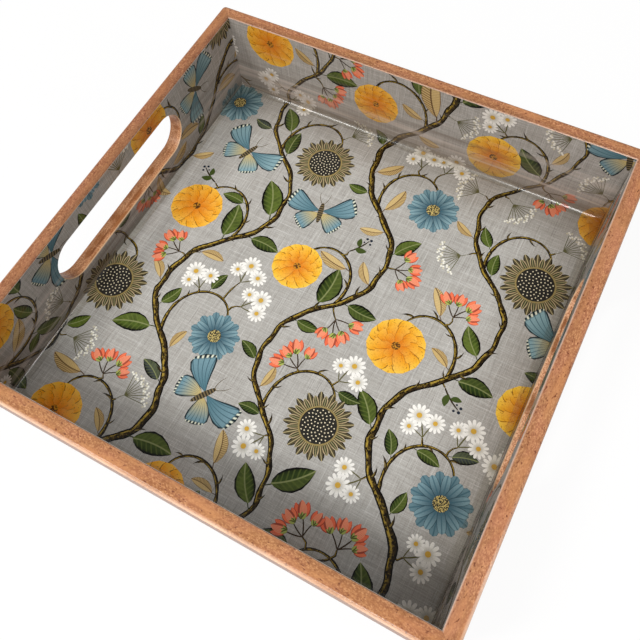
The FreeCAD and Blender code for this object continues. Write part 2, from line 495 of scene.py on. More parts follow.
def marks_and_painted_light(wood, body, clouds, arris_highlight_share):
    """Adds the glue at the mitres, painted highlights on the arrises, a darker strip on the rim and painted
    shade on the foot.
    """
    front = wood.y.fit(-OUTER_HALF * 0.4, -OUTER_HALF * 0.8)
    # Painted highlight: a pale band on the outer arris, towards the front board.
    outer = wood.from_side.ease(*OUTER_ARRIS_HIGHLIGHT, 1.0, 0.0) * wood.z.ease(*wood.under_rim(2.4, 1.2))
    # A darker strip on the rim beside the inner arris, strongest on the back and left boards.
    inner_strip = wood.from_inside.fit(*INNER_STRIP) * wood.z.fit(*wood.under_rim(3.0, 1.0))
    far_side = (wood.y - wood.x).fit(-OUTER_HALF * 0.5, OUTER_HALF * 0.5, 0.45, 1.0)
    # Painted highlight along the inner arris, at each board's own strength.
    arris_highlight = wood.from_inside.ease(0.0, ARRIS_HIGHLIGHT_WIDTH, 1.0, 0.0)
    # Painted shade: the outer face darkens from just under the rim down towards the foot.
    painted_foot_shade = wood.from_side.fit(0.4 * MM, 0.1 * MM) * wood.z.fit(*wood.under_rim(1.5, 12.0), 0.0, 0.5)
    body = body.blend(wood.from_mitre.fit(*GLUE_LINE, 0.4, 0.0), (92, 52, 34))
    body = body.blend(outer * clouds.fit(0.3, 0.7, 0.75, 0.3) * front, (250, 218, 192))
    body = body.blend(inner_strip * far_side, INNER_STRIP_TINT, "MULTIPLY")
    body = body.blend(arris_highlight * wood.z.ease(*wood.under_rim(1.6, 0.8), 0.0, arris_highlight_share), (232, 204, 186))
    return body.blend(painted_foot_shade, (112, 70, 46))


def slotted(wood, body, grit, cut_dark, cut_pale):
    """Adds the raw wood inside the hand slots."""
    wide, tight = SLOT_MARGIN
    height = (wood.z.fit(SLOT_HIGH.z + wide, SLOT_HIGH.z + tight)
              * wood.z.fit(SLOT_LOW.z - wide, SLOT_LOW.z - tight))
    cut = wood.from_inside.fit(0.0, 0.4 * MM) * height * wood.from_side.fit(0.3 * MM, 1.6 * MM)
    amber = wood.grain(60.0, 190.0, 3.0, start=(0.1, 0.3, 0.5)).fit(0.5, 0.6, 0.0, 0.8)
    track = abs(wood.from_inside - CUTTER_TRACK).fit(1.0 * MM, 0.4 * MM)
    paused = abs(wood.y - CUTTER_PAUSE).fit(15.0 * MM, 9.0 * MM)
    steps = wood.calc("SINE", wood.y * (2.0 * math.pi / CUTTER_PITCH)).fit(-0.2, 0.5, 0.0, 0.75)
    mouth = wood.from_inside.fit(0.8 * MM, 0.4 * MM) * height
    return body.layers(
        (cut * 0.8, wood.mix(grit.fit(0.36, 0.64), cut_dark, cut_pale)),
        (cut * amber, (132, 76, 30)),
        (cut * track * (0.25 + steps * paused), (100, 50, 12)),
        (mouth * 0.6, (216, 186, 148)))


def hardwood(name, grain_axis, shift, tone, stain, figure, arris_highlight_share, cut_dark, cut_pale):
    """A board's lacquered wood. Its arris share is the strength of the painted highlight on its inner
    arris, and the cut colours are those of its hand slot, lit or shaded as painted light."""
    wood = Board(name, grain_axis, shift)
    body, clouds, streaks, mottle, grit, pores = planed(wood, tone, stain, figure)
    body = slotted(wood, marks_and_painted_light(wood, body, clouds, arris_highlight_share), grit, cut_dark, cut_pale)
    return wood.set(base_color=body, roughness=mottle.fit(0.3, 0.7, 0.5, 0.4), specular=0.2,
                    coat_weight=0.3, coat_roughness=0.2, coat_ior=1.45,
                    normal=wood.bump(streaks * 0.3 - pores, 0.45, 0.1 * MM))


# Painted light: the right board's hand slot gets paler raw wood because it is lit, the others darker raw wood
# because they are shaded.
SHADED_CUT = ((148, 98, 60), (196, 146, 106))
LIT_CUT = ((186, 124, 84), (250, 200, 160))
BOARD_FINISHES = {
    "front_board": hardwood("hardwood_front", "X", 0.11, 0.3, (136, 82, 24), 0.9, 0.15, *SHADED_CUT),
    "back_board": hardwood("hardwood_back", "X", 0.53, 0.2, (120, 76, 54), 1.0, 0.3, *SHADED_CUT),
    "left_board": hardwood("hardwood_left", "Y", 0.31, 0.54, (120, 74, 50), 0.95, 0.0, *SHADED_CUT),
    "right_board": hardwood("hardwood_right", "Y", 0.83, 0.1, (112, 76, 70), 0.75, 0.5, *LIT_CUT),
}
print("hardwood:", len(BOARD_FINISHES), "finishes")

# %% [markdown]
# The construction model already has the true board shape, with its rounded rim, eased slot and
# pin holes, but its mesh is loose triangles with hard shading. Each board is therefore a welded
# copy of its node, shaded smooth across the rounded edges and sharp at the real corners.

# %% Boards
SHARP_ANGLE = math.radians(32.0)
WELD = 0.004 * MM


def welded_copy(node, name, finish):
    """A smooth-shaded copy of a CAD node that stands for it."""
    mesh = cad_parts[node].data.copy()
    mesh.name = name
    mesh.materials.clear()
    mesh.materials.append(finish)
    with reshaped(mesh) as work:
        bmesh.ops.remove_doubles(work, verts=work.verts, dist=WELD)
        for face in work.faces:
            face.smooth = True
        for edge in work.edges:
            edge.smooth = edge.is_manifold and edge.calc_face_angle(0.0) < SHARP_ANGLE
    tray_piece(name, mesh, node)


for node, finish in BOARD_FINISHES.items():
    welded_copy(node, "wood_" + node, finish)

# %% [markdown]
# The lining is five printed cloth-look sheets. One design runs across all of them, so it is drawn
# as one sheet in the shape of a cross, which is later parted and folded up against the boards. It
# is a meander pattern: stems that run in waves across the sheet, shoots that curl into the bays
# of each wave, and blossoms, leaves and butterflies in the spaces. Everything drawn is built from
# one outline, the blade: a leaf, a petal or a wing is a blade that is widest at a chosen place
# and closes more or less sharply at its two ends. All drawing sizes are in millimetres on the
# flat sheet, whose middle is the middle of the tray's floor.

# %% Blade and disc outlines
BLADE_STEPS = 7


def polar(reach, turn, start=(0.0, 0.0)):
    """The point at some distance from a start, in some direction."""
    return start[0] + reach * math.cos(turn), start[1] + reach * math.sin(turn)


class Blade:
    """A leaf-like outline along x from 0 to 1. root and tip say how bluntly each end closes: the
    smaller the blunter. bend lifts its middle line by that much at half length."""

    def __init__(self, width, root, tip, bend=0.0):
        self.root = root
        self.tip = tip
        self.bend = bend
        widest = root / (root + tip)
        self.width = width / (widest ** root * (1.0 - widest) ** tip)

    def edge(self, x, side):
        middle = self.bend * 4.0 * x * (1.0 - x)
        return x, middle + side * (self.width * x ** self.root * (1.0 - x) ** self.tip)

    def outline(self):
        """Corners in order: along the lower side to the tip, and back along the upper side."""
        steps = [0.5 - 0.5 * math.cos(math.pi * i / BLADE_STEPS) for i in range(BLADE_STEPS + 1)]
        return [self.edge(x, -1.0) for x in steps] + [self.edge(x, 1.0) for x in reversed(steps[1:-1])]


class Disc:
    """A round outline of radius 1."""

    def __init__(self, corners=14):
        self.corners = corners

    def outline(self):
        return [polar(1.0, math.tau * i / self.corners) for i in range(self.corners)]


LEAF = Blade(0.27, 0.75, 0.95, 0.06)
FROND = Blade(0.2, 0.8, 0.8, -0.08)
ROUND_PETAL = Blade(0.3, 0.85, 0.28)
SLIM_PETAL = Blade(0.17, 0.7, 0.35)
POINTED_PETAL = Blade(0.2, 0.7, 0.6)
CUP_PETAL = Blade(0.25, 0.5, 0.75, 0.08)
FRONT_PETAL = Blade(0.27, 0.55, 0.7)
SEPAL = Blade(0.28, 0.5, 0.8)
FORE_WING = Blade(0.33, 1.15, 0.3, 0.1)
HIND_WING = Blade(0.4, 0.9, 0.32, -0.06)
TRUNK = Blade(0.11, 0.45, 0.4)
STALK = Blade(0.035, 0.15, 0.3, 0.05)
THREAD = Blade(0.018, 0.2, 0.3)
BUD = Blade(0.1, 0.35, 1.1, 0.12)
print("blade corners:", len(LEAF.outline()))

# %% [markdown]
# A motif is a small flat drawing made of blades and discs. Each outline keeps its own blade
# coordinates in an attribute named ink: x along the blade, y across it, and a number that says
# which part of the motif it is. The materials read ink, so veins, shading and outlines follow
# every petal however it is turned, and no picture file is needed.

# %% Motifs
PART_MAIN, PART_SECOND, PART_THIRD, PART_HEART, PART_STALK = 0.0, 1.0, 2.0, 3.0, 4.0


class Motif:
    """Collects outlines in paint order and turns them into one flat mesh."""

    def __init__(self):
        self.corners = []
        self.ink = []
        self.faces = []

    def lay(self, shape, part, place=(0.0, 0.0), turn=0.0, size=1.0, flip=1.0):
        first = len(self.corners)
        for x, y in shape.outline():
            along, across = x * size, y * size * flip
            self.corners.append((place[0] + along * math.cos(turn) - across * math.sin(turn),
                                 place[1] + along * math.sin(turn) + across * math.cos(turn), 0.0))
            self.ink.append((x, y, part))
        self.faces.append(list(range(first, len(self.corners))))
        return self

    def ring(self, shape, part, count, size, start=0.0, hub=0.0, place=(0.0, 0.0)):
        """count outlines round a hub, each pointing outwards."""
        for i in range(count):
            turn = start + math.tau * i / count
            self.lay(shape, part, polar(hub, turn, place), turn, size)
        return self

    def finish(self, name):
        mesh = new_mesh(name, self.corners, self.faces)
        note(mesh, "ink", "FLOAT_VECTOR", self.ink)
        return bpy.data.objects.new(name, mesh)


print("parts of a motif:", [PART_MAIN, PART_SECOND, PART_THIRD, PART_HEART, PART_STALK])

# %% [markdown]
# Blossoms are rings of petals round a hub, laid from the outermost ring inwards as a painter
# would. Their sizes are shares of the whole motif, which is about one unit across, so each can
# be set in the garden at any size.

# %% Leaves and blossoms
SEED_DOTS = 74
GOLDEN_TURN = math.pi * (3.0 - math.sqrt(5.0))


def stalked(size):
    """A motif that starts with its stalk."""
    return Motif().lay(STALK, PART_STALK, size=size)


def leaf_motif(blade):
    return Motif().lay(STALK, PART_STALK, (-0.16, 0.0), 0.0, 0.4).lay(blade, PART_MAIN)


def round_blossom():
    """A full round garden blossom seen from above, three rings of petals and a heart."""
    motif = Motif().ring(ROUND_PETAL, PART_MAIN, 13, 0.5).ring(ROUND_PETAL, PART_SECOND, 10, 0.375, 0.2)
    return motif.ring(ROUND_PETAL, PART_THIRD, 7, 0.25, 0.5).lay(Disc(12), PART_HEART, size=0.075)


def star_blossom():
    """A flat blossom of slim petals in two rings."""
    motif = Motif().ring(SLIM_PETAL, PART_SECOND, 11, 0.5, 0.28).ring(SLIM_PETAL, PART_MAIN, 11, 0.45)
    return motif.lay(Disc(), PART_HEART, size=0.13)


def seed_blossom():
    """A dark seed head: pale pointed petals, dark ones between, and a dotted disc whose dots
    follow the golden turn."""
    motif = Motif().ring(POINTED_PETAL, PART_SECOND, 17, 0.26, 0.0, 0.24)
    motif.ring(POINTED_PETAL, PART_MAIN, 17, 0.22, math.pi / 17.0, 0.22)
    motif.lay(Disc(26), PART_THIRD, size=0.285).lay(Disc(26), PART_HEART, size=0.262)
    for i in range(SEED_DOTS):
        turn = GOLDEN_TURN * i
        spot = polar(0.245 * math.sqrt((i + 0.5) / SEED_DOTS), turn)
        motif.lay(Disc(6), PART_STALK, spot, turn, 0.0105)
    return motif


print("dots in a seed head:", SEED_DOTS)

# %% [markdown]
# Butterflies and the small flowers that grow in sprays complete the set. A dictionary keeps all
# motifs by name, and each becomes one object, kept out of the scene, that the next steps copy.

# %% Butterfly and small flowers
LACE_RAYS = 9


def butterfly():
    """Two pairs of wings, a body and feelers; the head points along +x."""
    motif = Motif()
    for side in (-1.0, 1.0):
        motif.lay(HIND_WING, PART_SECOND, (-0.02, 0.01 * side), 2.28 * side, 0.4, side)
        motif.lay(FORE_WING, PART_MAIN, (0.03, 0.01 * side), 1.18 * side, 0.56, side)
        motif.lay(Blade(0.02, 0.2, 0.4, 0.1 * side), PART_HEART, (0.14, 0.0), 0.35 * side, 0.24)
    return motif.lay(TRUNK, PART_HEART, (-0.2, 0.0), 0.0, 0.38)


def cup_flower():
    """A small upright flower on a stalk: three cupped petals over a green base."""
    motif = stalked(0.62)
    for flip in (1.0, -1.0):
        motif.lay(CUP_PETAL, PART_SECOND, (0.52, 0.0), 0.42 * flip, 0.46, flip)
    motif.lay(FRONT_PETAL, PART_MAIN, (0.5, 0.0), 0.0, 0.5)
    for turn in (-0.6, 0.0, 0.6):
        motif.lay(SEPAL, PART_THIRD, (0.48, 0.0), turn, 0.2)
    return motif


def daisy():
    """A white daisy on a stalk."""
    motif = stalked(0.62).ring(SLIM_PETAL, PART_MAIN, 12, 0.33, 0.1, 0.03, (0.68, 0.0))
    return motif.lay(Disc(12), PART_HEART, (0.68, 0.0), size=0.085)


def lace_flower():
    """An umbel: thin rays that fan out and end in small pale dots."""
    motif = stalked(0.3)
    for i in range(LACE_RAYS):
        turn = (i - (LACE_RAYS - 1) / 2.0) * 0.21
        reach = 0.6 if i % 2 else 0.72
        motif.lay(THREAD, PART_STALK, (0.26, 0.0), turn, reach)
        for dot in range(4):
            place = polar(reach + 0.05 * (dot % 2), turn + (dot - 1.5) * 0.07, (0.26, 0.0))
            motif.lay(Disc(8), PART_MAIN if (i + dot) % 3 else PART_SECOND, place, 0.0, 0.036)
    return motif


def berry_sprig():
    """Two small leaves and a few dark berries on one stalk."""
    motif = stalked(0.85).lay(LEAF, PART_MAIN, (0.25, 0.02), 0.85, 0.42)
    motif.lay(LEAF, PART_MAIN, (0.4, 0.02), -0.8, 0.36, -1.0)
    for x, y, size in ((0.9, 0.03, 0.055), (0.78, 0.14, 0.045), (0.82, -0.1, 0.05), (0.66, -0.05, 0.035)):
        motif.lay(Disc(9), PART_SECOND, (x, y), 0.0, size)
    return motif


def bud():
    """A bare spur on a stem."""
    return Motif().lay(BUD, PART_MAIN).lay(BUD, PART_SECOND, (0.12, 0.0), 0.0, 0.5)


MOTIFS = {
    "bud": bud(), "leaf": leaf_motif(LEAF), "frond": leaf_motif(FROND), "round_blossom": round_blossom(),
    "star_blossom": star_blossom(), "seed_blossom": seed_blossom(), "butterfly": butterfly(),
    "cup_flower": cup_flower(), "daisy": daisy(), "lace_flower": lace_flower(), "berry_sprig": berry_sprig(),
}
motif_objects = {name: motif.finish("motif_" + name) for name, motif in MOTIFS.items()}
print("motifs:", {name: len(motif.faces) for name, motif in MOTIFS.items()})

# %% [markdown]
# Where things grow is decided by a few gardener's rules and a seeded dice, so every run gives the
# same sheet. Stems run up the sheet in waves. A shoot leaves each wave and curls into its hollow
# side with an ever tighter bend. Leaves stand along the stems, left and right in turn. Whatever
# is placed also claims circles of ground, and nothing else is placed on claimed ground, which
# keeps the drawing open and easy to read.

# %% The garden
FOLD = LINED_HALF / MM                       # the fold lines, mm from the middle of the sheet
SHEET_HALF = (LINED_HALF + WALL_HEIGHT) / MM
VINES = range(-3, 4)
VINE_SPACING = 84.0
VINE_WAVE = 160.0
VINE_SWAY = 23.0
VINE_LAG = 0.55                              # each vine's wave is this much behind the last one's
VINE_OFFSET = 6.0
VINE_END = SHEET_HALF + 24.0
VINE_STEP = 4.0
VINE_WIDTHS = ((3.0, 4.6), (5.6, 2.4))       # at the lower and the upper end, in turn
VINE_LEAVES = 15.0                           # the spacing of a vine's leaves
SHOOT_ROOT = 37.0                            # below the wave's crest
SHOOT_OUTSIDE = 10.0                         # a shoot may root this far off the sheet
SHOOT_LENGTHS = (72.0, 80.0)
SHOOT_RADII = (50.0, 13.5)                   # of its curl, at the root and at the end
SHOOT_WIDTHS = (2.7, 1.2)
SHOOT_LEAVES = 14.0
STEM_MARGIN = 0.8                            # free ground beside every stem
WALK_STEP = 3.0
CLAIM_LIMIT = 9000
ENDINGS = ("round_blossom", "star_blossom", "round_blossom", "seed_blossom")
ENDING_SIZES = {"round_blossom": 36.0, "star_blossom": 35.0, "seed_blossom": 46.0}


class Garden:
    """Holds the claimed ground, the stems and the places of all motifs, in mm on the sheet."""

    def __init__(self, seed):
        self.dice = random.Random(seed)
        self.claims = np.full((CLAIM_LIMIT, 3), 1e6)
        self.claimed = 0
        self.stems = []
        self.places = {name: [] for name in MOTIFS}

    def claim(self, x, y, reach):
        self.claims[self.claimed] = (x, y, reach)
        self.claimed += 1

    def free(self, x, y, reach):
        held = self.claims[:self.claimed]
        return bool(np.all(np.hypot(held[:, 0] - x, held[:, 1] - y) > held[:, 2] + reach))

    def grow(self, points, first_width, last_width, leafy=0.0):
        """A stem through the points; leafy is the spacing of its leaves, none if 0."""
        self.stems.append((points, first_width, last_width, leafy))
        for i, (x, y) in enumerate(points):
            share = i / (len(points) - 1)
            self.claim(x, y, 0.5 * (first_width + (last_width - first_width) * share) + STEM_MARGIN)

    def set(self, motif, x, y, turn, size):
        flip = self.dice.choice((-1.0, 1.0))
        self.places[motif].append((x, y, turn, size, flip, self.dice.random()))


def walk(start, heading, length, first_bend, last_bend):
    """Points of a line and its last heading. Its bend, 1/mm to the left, changes evenly."""
    points = [start]
    count = round(length / WALK_STEP)
    for i in range(count):
        heading += WALK_STEP * (first_bend + (last_bend - first_bend) * (i + 0.5) / count)
        points.append(polar(WALK_STEP, heading, points[-1]))
    return points, heading


def vine_x(number, y):
    """A slow wave, with two small quick ones that make the line look drawn by hand."""
    wave = VINE_SWAY * math.sin(math.tau * y / VINE_WAVE + VINE_LAG * number)
    wobble = 1.7 * math.sin(math.tau * y / 51.0 + 2.0 * number)
    tremble = 0.7 * math.sin(math.tau * y / 19.0 + number)
    return VINE_SPACING * number + VINE_OFFSET + wave + (wobble + tremble)


def vine_heading(number, y):
    return math.atan2(2.0, vine_x(number, y + 1.0) - vine_x(number, y - 1.0))


def grow_shoot(number, half_wave):
    """A shoot that curls into one bay of a vine and ends in a blossom."""
    side = 1.0 if half_wave % 2 == 0 else -1.0
    crest = ((half_wave + 0.5) * math.pi - VINE_LAG * number) * VINE_WAVE / math.tau
    root = crest - SHOOT_ROOT
    if abs(root) > SHEET_HALF + SHOOT_OUTSIDE:
        return 0
    heading = vine_heading(number, root) + 0.5 * side
    length = garden.dice.uniform(*SHOOT_LENGTHS)
    line, heading = walk((vine_x(number, root), root), heading, length,
                         *[side / radius for radius in SHOOT_RADII])
    ending = ENDINGS[(half_wave + 2 * number) % 4]
    size = ENDING_SIZES[ending] * garden.dice.uniform(0.92, 1.06)
    x, y = polar(0.24 * size, heading, line[-1])
    garden.claim(x, y, 0.5 * size)
    garden.grow(line, *SHOOT_WIDTHS, SHOOT_LEAVES)
    garden.set(ending, x, y, heading, size)
    return 1


garden = Garden(29)
vines = []
for number in VINES:
    heights = [-VINE_END + VINE_STEP * i for i in range(int(2.0 * VINE_END / VINE_STEP) + 1)]
    line = [(vine_x(number, y), y) for y in heights]
    vines.append((line, *VINE_WIDTHS[number % 2], VINE_LEAVES))
    garden.grow(*vines[-1])
garden.stems.clear()
shoots = sum(grow_shoot(number, half_wave) for number in VINES for half_wave in range(-4, 5))
print("vines:", len(vines), "shoots:", shoots)

# %% [markdown]
# The small things come next: butterflies first, because they need most room, then sprays of
# small flowers on twigs. A random spot is tried, kept only where the ground is free, and joined
# by a bent twig to the nearest stem. Leaves are set last, in the room that is left.

# %% Butterflies, sprays and leaves
SPRAYS = {                                   # ground it needs; and motif, spread and size of each member
    "cups": (13.0, (("cup_flower", -0.95, 17.0), ("cup_flower", -0.3, 20.0), ("cup_flower", 0.3, 18.0),
                    ("cup_flower", 0.95, 19.0))),
    "daisies": (11.0, (("daisy", -0.65, 17.0), ("daisy", 0.15, 20.0), ("daisy", 0.85, 15.0))),
    "lace": (11.0, (("lace_flower", 0.0, 20.0),)),
    "berries": (9.5, (("berry_sprig", 0.0, 19.0),)),
}
PLANTING = (("cups", 16), ("daisies", 20), ("lace", 16), ("berries", 12), ("daisies", 14), ("lace", 10))
BUTTERFLIES = 10
BUTTERFLY_ROOM = 20.0                        # the free ground it needs
BUTTERFLY_CLAIM = 22.0                       # and the ground it takes
BUTTERFLY_SIZES = (44.0, 50.0)
TWIG_STEPS = 6
TWIG_WIDTHS = (1.5, 0.9)
CORNER_MARGIN = 8.0                          # how far a plant may reach into the missing corners
LEAF_SIZES = {"leaf": (27.0, 22.0, 16.0), "frond": (36.0, 22.0, 16.0)}


def nearest_on_stems(x, y):
    """The nearest point of any vine or shoot, with its distance."""
    best = min((math.hypot(px - x, py - y), px, py) for points, _, _, leafy in garden.stems + vines
               if leafy for px, py in points[1:-2])
    return best[1], best[2], best[0]


def spot(reach, tries=400):
    """A free random place on the sheet, or None."""
    for _ in range(tries):
        x = garden.dice.uniform(-SHEET_HALF, SHEET_HALF)
        y = garden.dice.uniform(-SHEET_HALF, SHEET_HALF)
        in_corner = min(abs(x), abs(y)) > FOLD + CORNER_MARGIN
        if not in_corner and garden.free(x, y, reach):
            return x, y
    return None


def grow_spray(kind):
    """One spray on a twig, where there is room. Says whether there was."""
    reach, members = SPRAYS[kind]
    place = spot(reach)
    if not place:
        return False
    x, y = place
    near_x, near_y, distance = nearest_on_stems(x, y)
    turn = math.atan2(y - near_y, x - near_x)
    root = (x - reach * math.cos(turn), y - reach * math.sin(turn))
    sway = garden.dice.uniform(-0.22, 0.22) * distance
    bow = ((near_x + root[0]) / 2.0 - sway * math.sin(turn), (near_y + root[1]) / 2.0 + sway * math.cos(turn))
    twig = []
    for t in [i / TWIG_STEPS for i in range(TWIG_STEPS + 1)]:
        twig.append(tuple((1 - t) ** 2 * a + 2 * t * (1 - t) * b + t * t * c
                          for a, b, c in zip((near_x, near_y), bow, root)))
    garden.claim(x, y, reach)
    garden.grow(twig, *TWIG_WIDTHS)
    for motif, spread, size in members:
        garden.set(motif, *root, turn + spread + garden.dice.uniform(-0.1, 0.1), size)
    return True


def set_leaf(kind, base_size, start, heading, side, width):
    """One leaf beside a stem, if there is room for it. Says whether there was."""
    size = base_size * garden.dice.uniform(0.9, 1.1)
    turn = heading + side * garden.dice.uniform(0.75, 1.15)
    root = polar(0.16 * size + 0.3 * width, turn, start)
    spots = [(*polar(far * size, turn, root), reach * size) for far, reach in ((0.4, 0.2), (0.85, 0.13))]
    if not all(garden.free(*place) for place in spots):
        return False
    for place in spots:
        garden.claim(*place)
    garden.set(kind, *root, turn, size)
    return True


def leaves_along(points, width, spacing):
    """Leaves left and right in turn along one stem, wherever there is room."""
    side = 1.0
    since = spacing * 0.4
    for (x, y), (next_x, next_y) in zip(points, points[1:]):
        since += math.hypot(next_x - x, next_y - y)
        if since < spacing:
            continue
        heading = math.atan2(next_y - y, next_x - x)
        kind = "frond" if garden.dice.random() < 0.3 else "leaf"
        if any(set_leaf(kind, size, (x, y), heading, side, width) for size in LEAF_SIZES[kind]):
            since = 0.0
            side = -side


def buds_along(points):
    """A bare spur at every fifth point of a stem, wherever there is room."""
    for (x, y), (next_x, next_y) in zip(points[::5], points[1::5]):
        turn = math.atan2(next_y - y, next_x - x) + garden.dice.choice((-0.7, 0.7))
        size = garden.dice.uniform(5.5, 9.0)
        if garden.free(*polar(size, turn, (x, y)), 0.8):
            garden.set("bud", x, y, turn, size)


for _ in range(BUTTERFLIES):
    place = spot(BUTTERFLY_ROOM)
    if place:
        garden.claim(*place, BUTTERFLY_CLAIM)
        turn = garden.dice.uniform(0.5, 2.6)
        garden.set("butterfly", *place, turn, garden.dice.uniform(*BUTTERFLY_SIZES))
for kind, wanted in PLANTING:
    while wanted and grow_spray(kind):
        wanted -= 1
for points, first_width, last_width, leafy in vines + garden.stems:
    if leafy:
        leaves_along(points, first_width, leafy)
        buds_along(points)
print("placed:", {name: len(places) for name, places in garden.places.items()})

# %% [markdown]
# Geometry Nodes draw it all. One tree sets a motif on every point of a list, turned and sized by
# the point's own attributes. The other sweeps a flat ribbon along the stems, as wide as their
# radius, and notes how far along and how far across each of its points lies. Both end in plain
# flat meshes, and the drawing is still in millimetres.

# %% Geometry Nodes trees for motifs and stems
def new_tree(name, **inputs):
    """An empty tree with named inputs. Returns the tree, its helper and its input wires."""
    tree = bpy.data.node_groups.new(name, "GeometryNodeTree")
    for title, kind in {"Geometry": "Geometry", **inputs}.items():
        tree.interface.new_socket(title, in_out="INPUT", socket_type="NodeSocket" + kind)
    tree.interface.new_socket("Geometry", in_out="OUTPUT", socket_type="NodeSocketGeometry")
    helper = Tree(tree)
    outputs = tree.nodes.new("NodeGroupInput").outputs
    return tree, helper, {title: Wire(helper, outputs[title]) for title in ("Geometry", *inputs)}


def end_tree(helper, geometry, material):
    """Realize, give the material, and send out."""
    plain = helper.add("GeometryNodeRealizeInstances", {"Geometry": geometry})
    done = helper.add("GeometryNodeSetMaterial", {"Geometry": plain, "Material": material})
    helper.put(helper.nodes.new("NodeGroupOutput").inputs[0], done)


def named(helper, name, kind="FLOAT"):
    """Reads an attribute by its name."""
    return helper.add("GeometryNodeInputNamedAttribute", {"Name": name}, data_type=kind)


def noted(helper, geometry, name, value, kind="FLOAT"):
    """Writes a value on every point under a name."""
    return helper.add("GeometryNodeStoreNamedAttribute", {"Geometry": geometry, "Name": name, "Value": value},
                      data_type=kind, domain="POINT")


def on_every_place(helper, places, pattern, rotation, scale=(1.0, 1.0, 1.0)):
    """An object's geometry on every point."""
    shape = helper.add("GeometryNodeObjectInfo", {"Object": pattern}, "Geometry")
    return helper.add("GeometryNodeInstanceOnPoints", {"Points": places, "Instance": shape,
                                                       "Rotation": rotation, "Scale": scale})


motif_tree, grow, given = new_tree("motif on every place", Motif="Object", Ink="Material")
size = named(grow, "size")
scale = grow.join(size, size * named(grow, "flip"), size)
turn = grow.join(0.0, 0.0, named(grow, "turn"))
spread = on_every_place(grow, given["Geometry"], given["Motif"], turn, scale)
end_tree(grow, spread, given["Ink"])

stem_tree, grow, given = new_tree("ribbon along every stem", Spacing="Float", Ink="Material")
path = grow.add("GeometryNodeResampleCurve", {"Curve": given["Geometry"], "Length": given["Spacing"]},
                mode="LENGTH")
path = noted(grow, path, "along", grow.add("GeometryNodeSplineParameter", output="Length"))
path = grow.add("GeometryNodeSetCurveNormal", {"Curve": path}, mode="Z_UP")
across = grow.add("GeometryNodeCurvePrimitiveLine", {"Start": (-1.0, 0.0, 0.0), "End": (1.0, 0.0, 0.0)})
across = noted(grow, across, "side", grow.split(grow.add("GeometryNodeInputPosition"))[0])
ribbon = grow.add("GeometryNodeCurveToMesh", {"Curve": path, "Profile Curve": across,
                                              "Scale": grow.add("GeometryNodeInputRadius")})
ribbon = noted(grow, ribbon, "ink", grow.join(named(grow, "along"), named(grow, "side"), 0.0), "FLOAT_VECTOR")
end_tree(grow, grow.add("GeometryNodeTriangulate", {"Mesh": ribbon}), given["Ink"])


def drawn(name, data, tree, **inputs):
    """Grows a tree on some points or curves and gives back the plain mesh."""
    thing = link(name, data)
    modifier = thing.modifiers.new("grow", "NODES")
    modifier.node_group = tree
    for socket in tree.interface.items_tree:
        if socket.name in inputs:
            modifier[socket.identifier] = inputs[socket.name]
    graph = bpy.context.evaluated_depsgraph_get()
    mesh = bpy.data.meshes.new_from_object(thing.evaluated_get(graph))
    bpy.data.objects.remove(thing)
    return mesh


def place_points(name, places):
    """A mesh of single points that carry turn, size, flip and shade."""
    mesh = new_mesh(name, [(x, y, 0.0) for x, y, *_ in places])
    for column, attribute in enumerate(("turn", "size", "flip", "shade"), 2):
        note(mesh, attribute, "FLOAT", [place[column] for place in places])
    return mesh


def stem_curves(name, stems):
    """One curve that holds all stems; a point's radius is half the stem's width there."""
    curves = bpy.data.curves.new(name, "CURVE")
    curves.dimensions = "3D"
    for points, first_width, last_width, _ in stems:
        spline = curves.splines.new("POLY")
        spline.points.add(len(points) - 1)
        for i, (x, y) in enumerate(points):
            spline.points[i].co = (x, y, 0.0, 1.0)
            width = first_width + (last_width - first_width) * i / (len(points) - 1)
            spline.points[i].radius = 0.5 * width * garden.dice.uniform(0.8, 1.2)
    return curves


print("trees:", motif_tree.name, "and", stem_tree.name)

# %% [markdown]
# Printing inks lie side by side, not on top of each other, so the whole drawing is flattened into
# one layer before it gets its thickness. Blender's constrained Delaunay triangulation does this:
# it takes all outlines at once, cuts them where they cross, and tells for each small triangle
# which outlines cover it. The one drawn last wins, and gives the triangle its ink and its ink
# coordinates, which run evenly over each outline, so three of its corners fix them everywhere.
# The fold lines and the edges of the hand slots go in too, so the sheet parts cleanly there.

# %% Flatten the drawing
CLOSE = 0.0002              # points nearer than this, mm, become one
SMALLEST_AREA = 0.0005      # mm2, smaller outlines are left out
# The hand slot on the flat sheet, mm: a place up the wall lies beyond the fold.
SLOT_FOOT = FOLD + (SLOT_LOW.z - FLOOR_Z) / MM
SLOT_HEAD = FOLD + (SLOT_HIGH.z - FLOOR_Z) / MM
SLOT_MIDDLE = (SLOT_FOOT + SLOT_HEAD) / 2.0
SLOT_RADIUS = (SLOT_HEAD - SLOT_FOOT) / 2.0
SLOT_STRAIGHT = SLOT_HIGH.y / MM - SLOT_RADIUS       # half the length between its round ends
SLOT_STEPS = 16


def slot_outline(side):
    """The slot's long round-ended shape, in the left or right wall."""
    points = []
    for end, start in ((1.0, 0.0), (-1.0, 1.0)):
        for i in range(SLOT_STEPS + 1):
            turn = math.pi * (i / SLOT_STEPS - start)
            x, y = polar(SLOT_RADIUS, turn, (SLOT_MIDDLE, end * SLOT_STRAIGHT))
            points.append((side * x, y))
    return points


def values_of(data, field, width):
    """A mesh layer as rows of numbers."""
    values = np.zeros(len(data) * width)
    data.foreach_get(field, values)
    return values.reshape(-1, width)


def signed_area(spots):
    x, y = spots[:, 0], spots[:, 1]
    return 0.5 * float(np.sum(x * np.roll(y, -1) - y * np.roll(x, -1)))


def on_sheet(spots):
    """Whether an outline reaches the cross-shaped sheet."""
    nearest = np.min(np.abs(spots), axis=0)
    return max(nearest) < SHEET_HALF and min(nearest) < FOLD


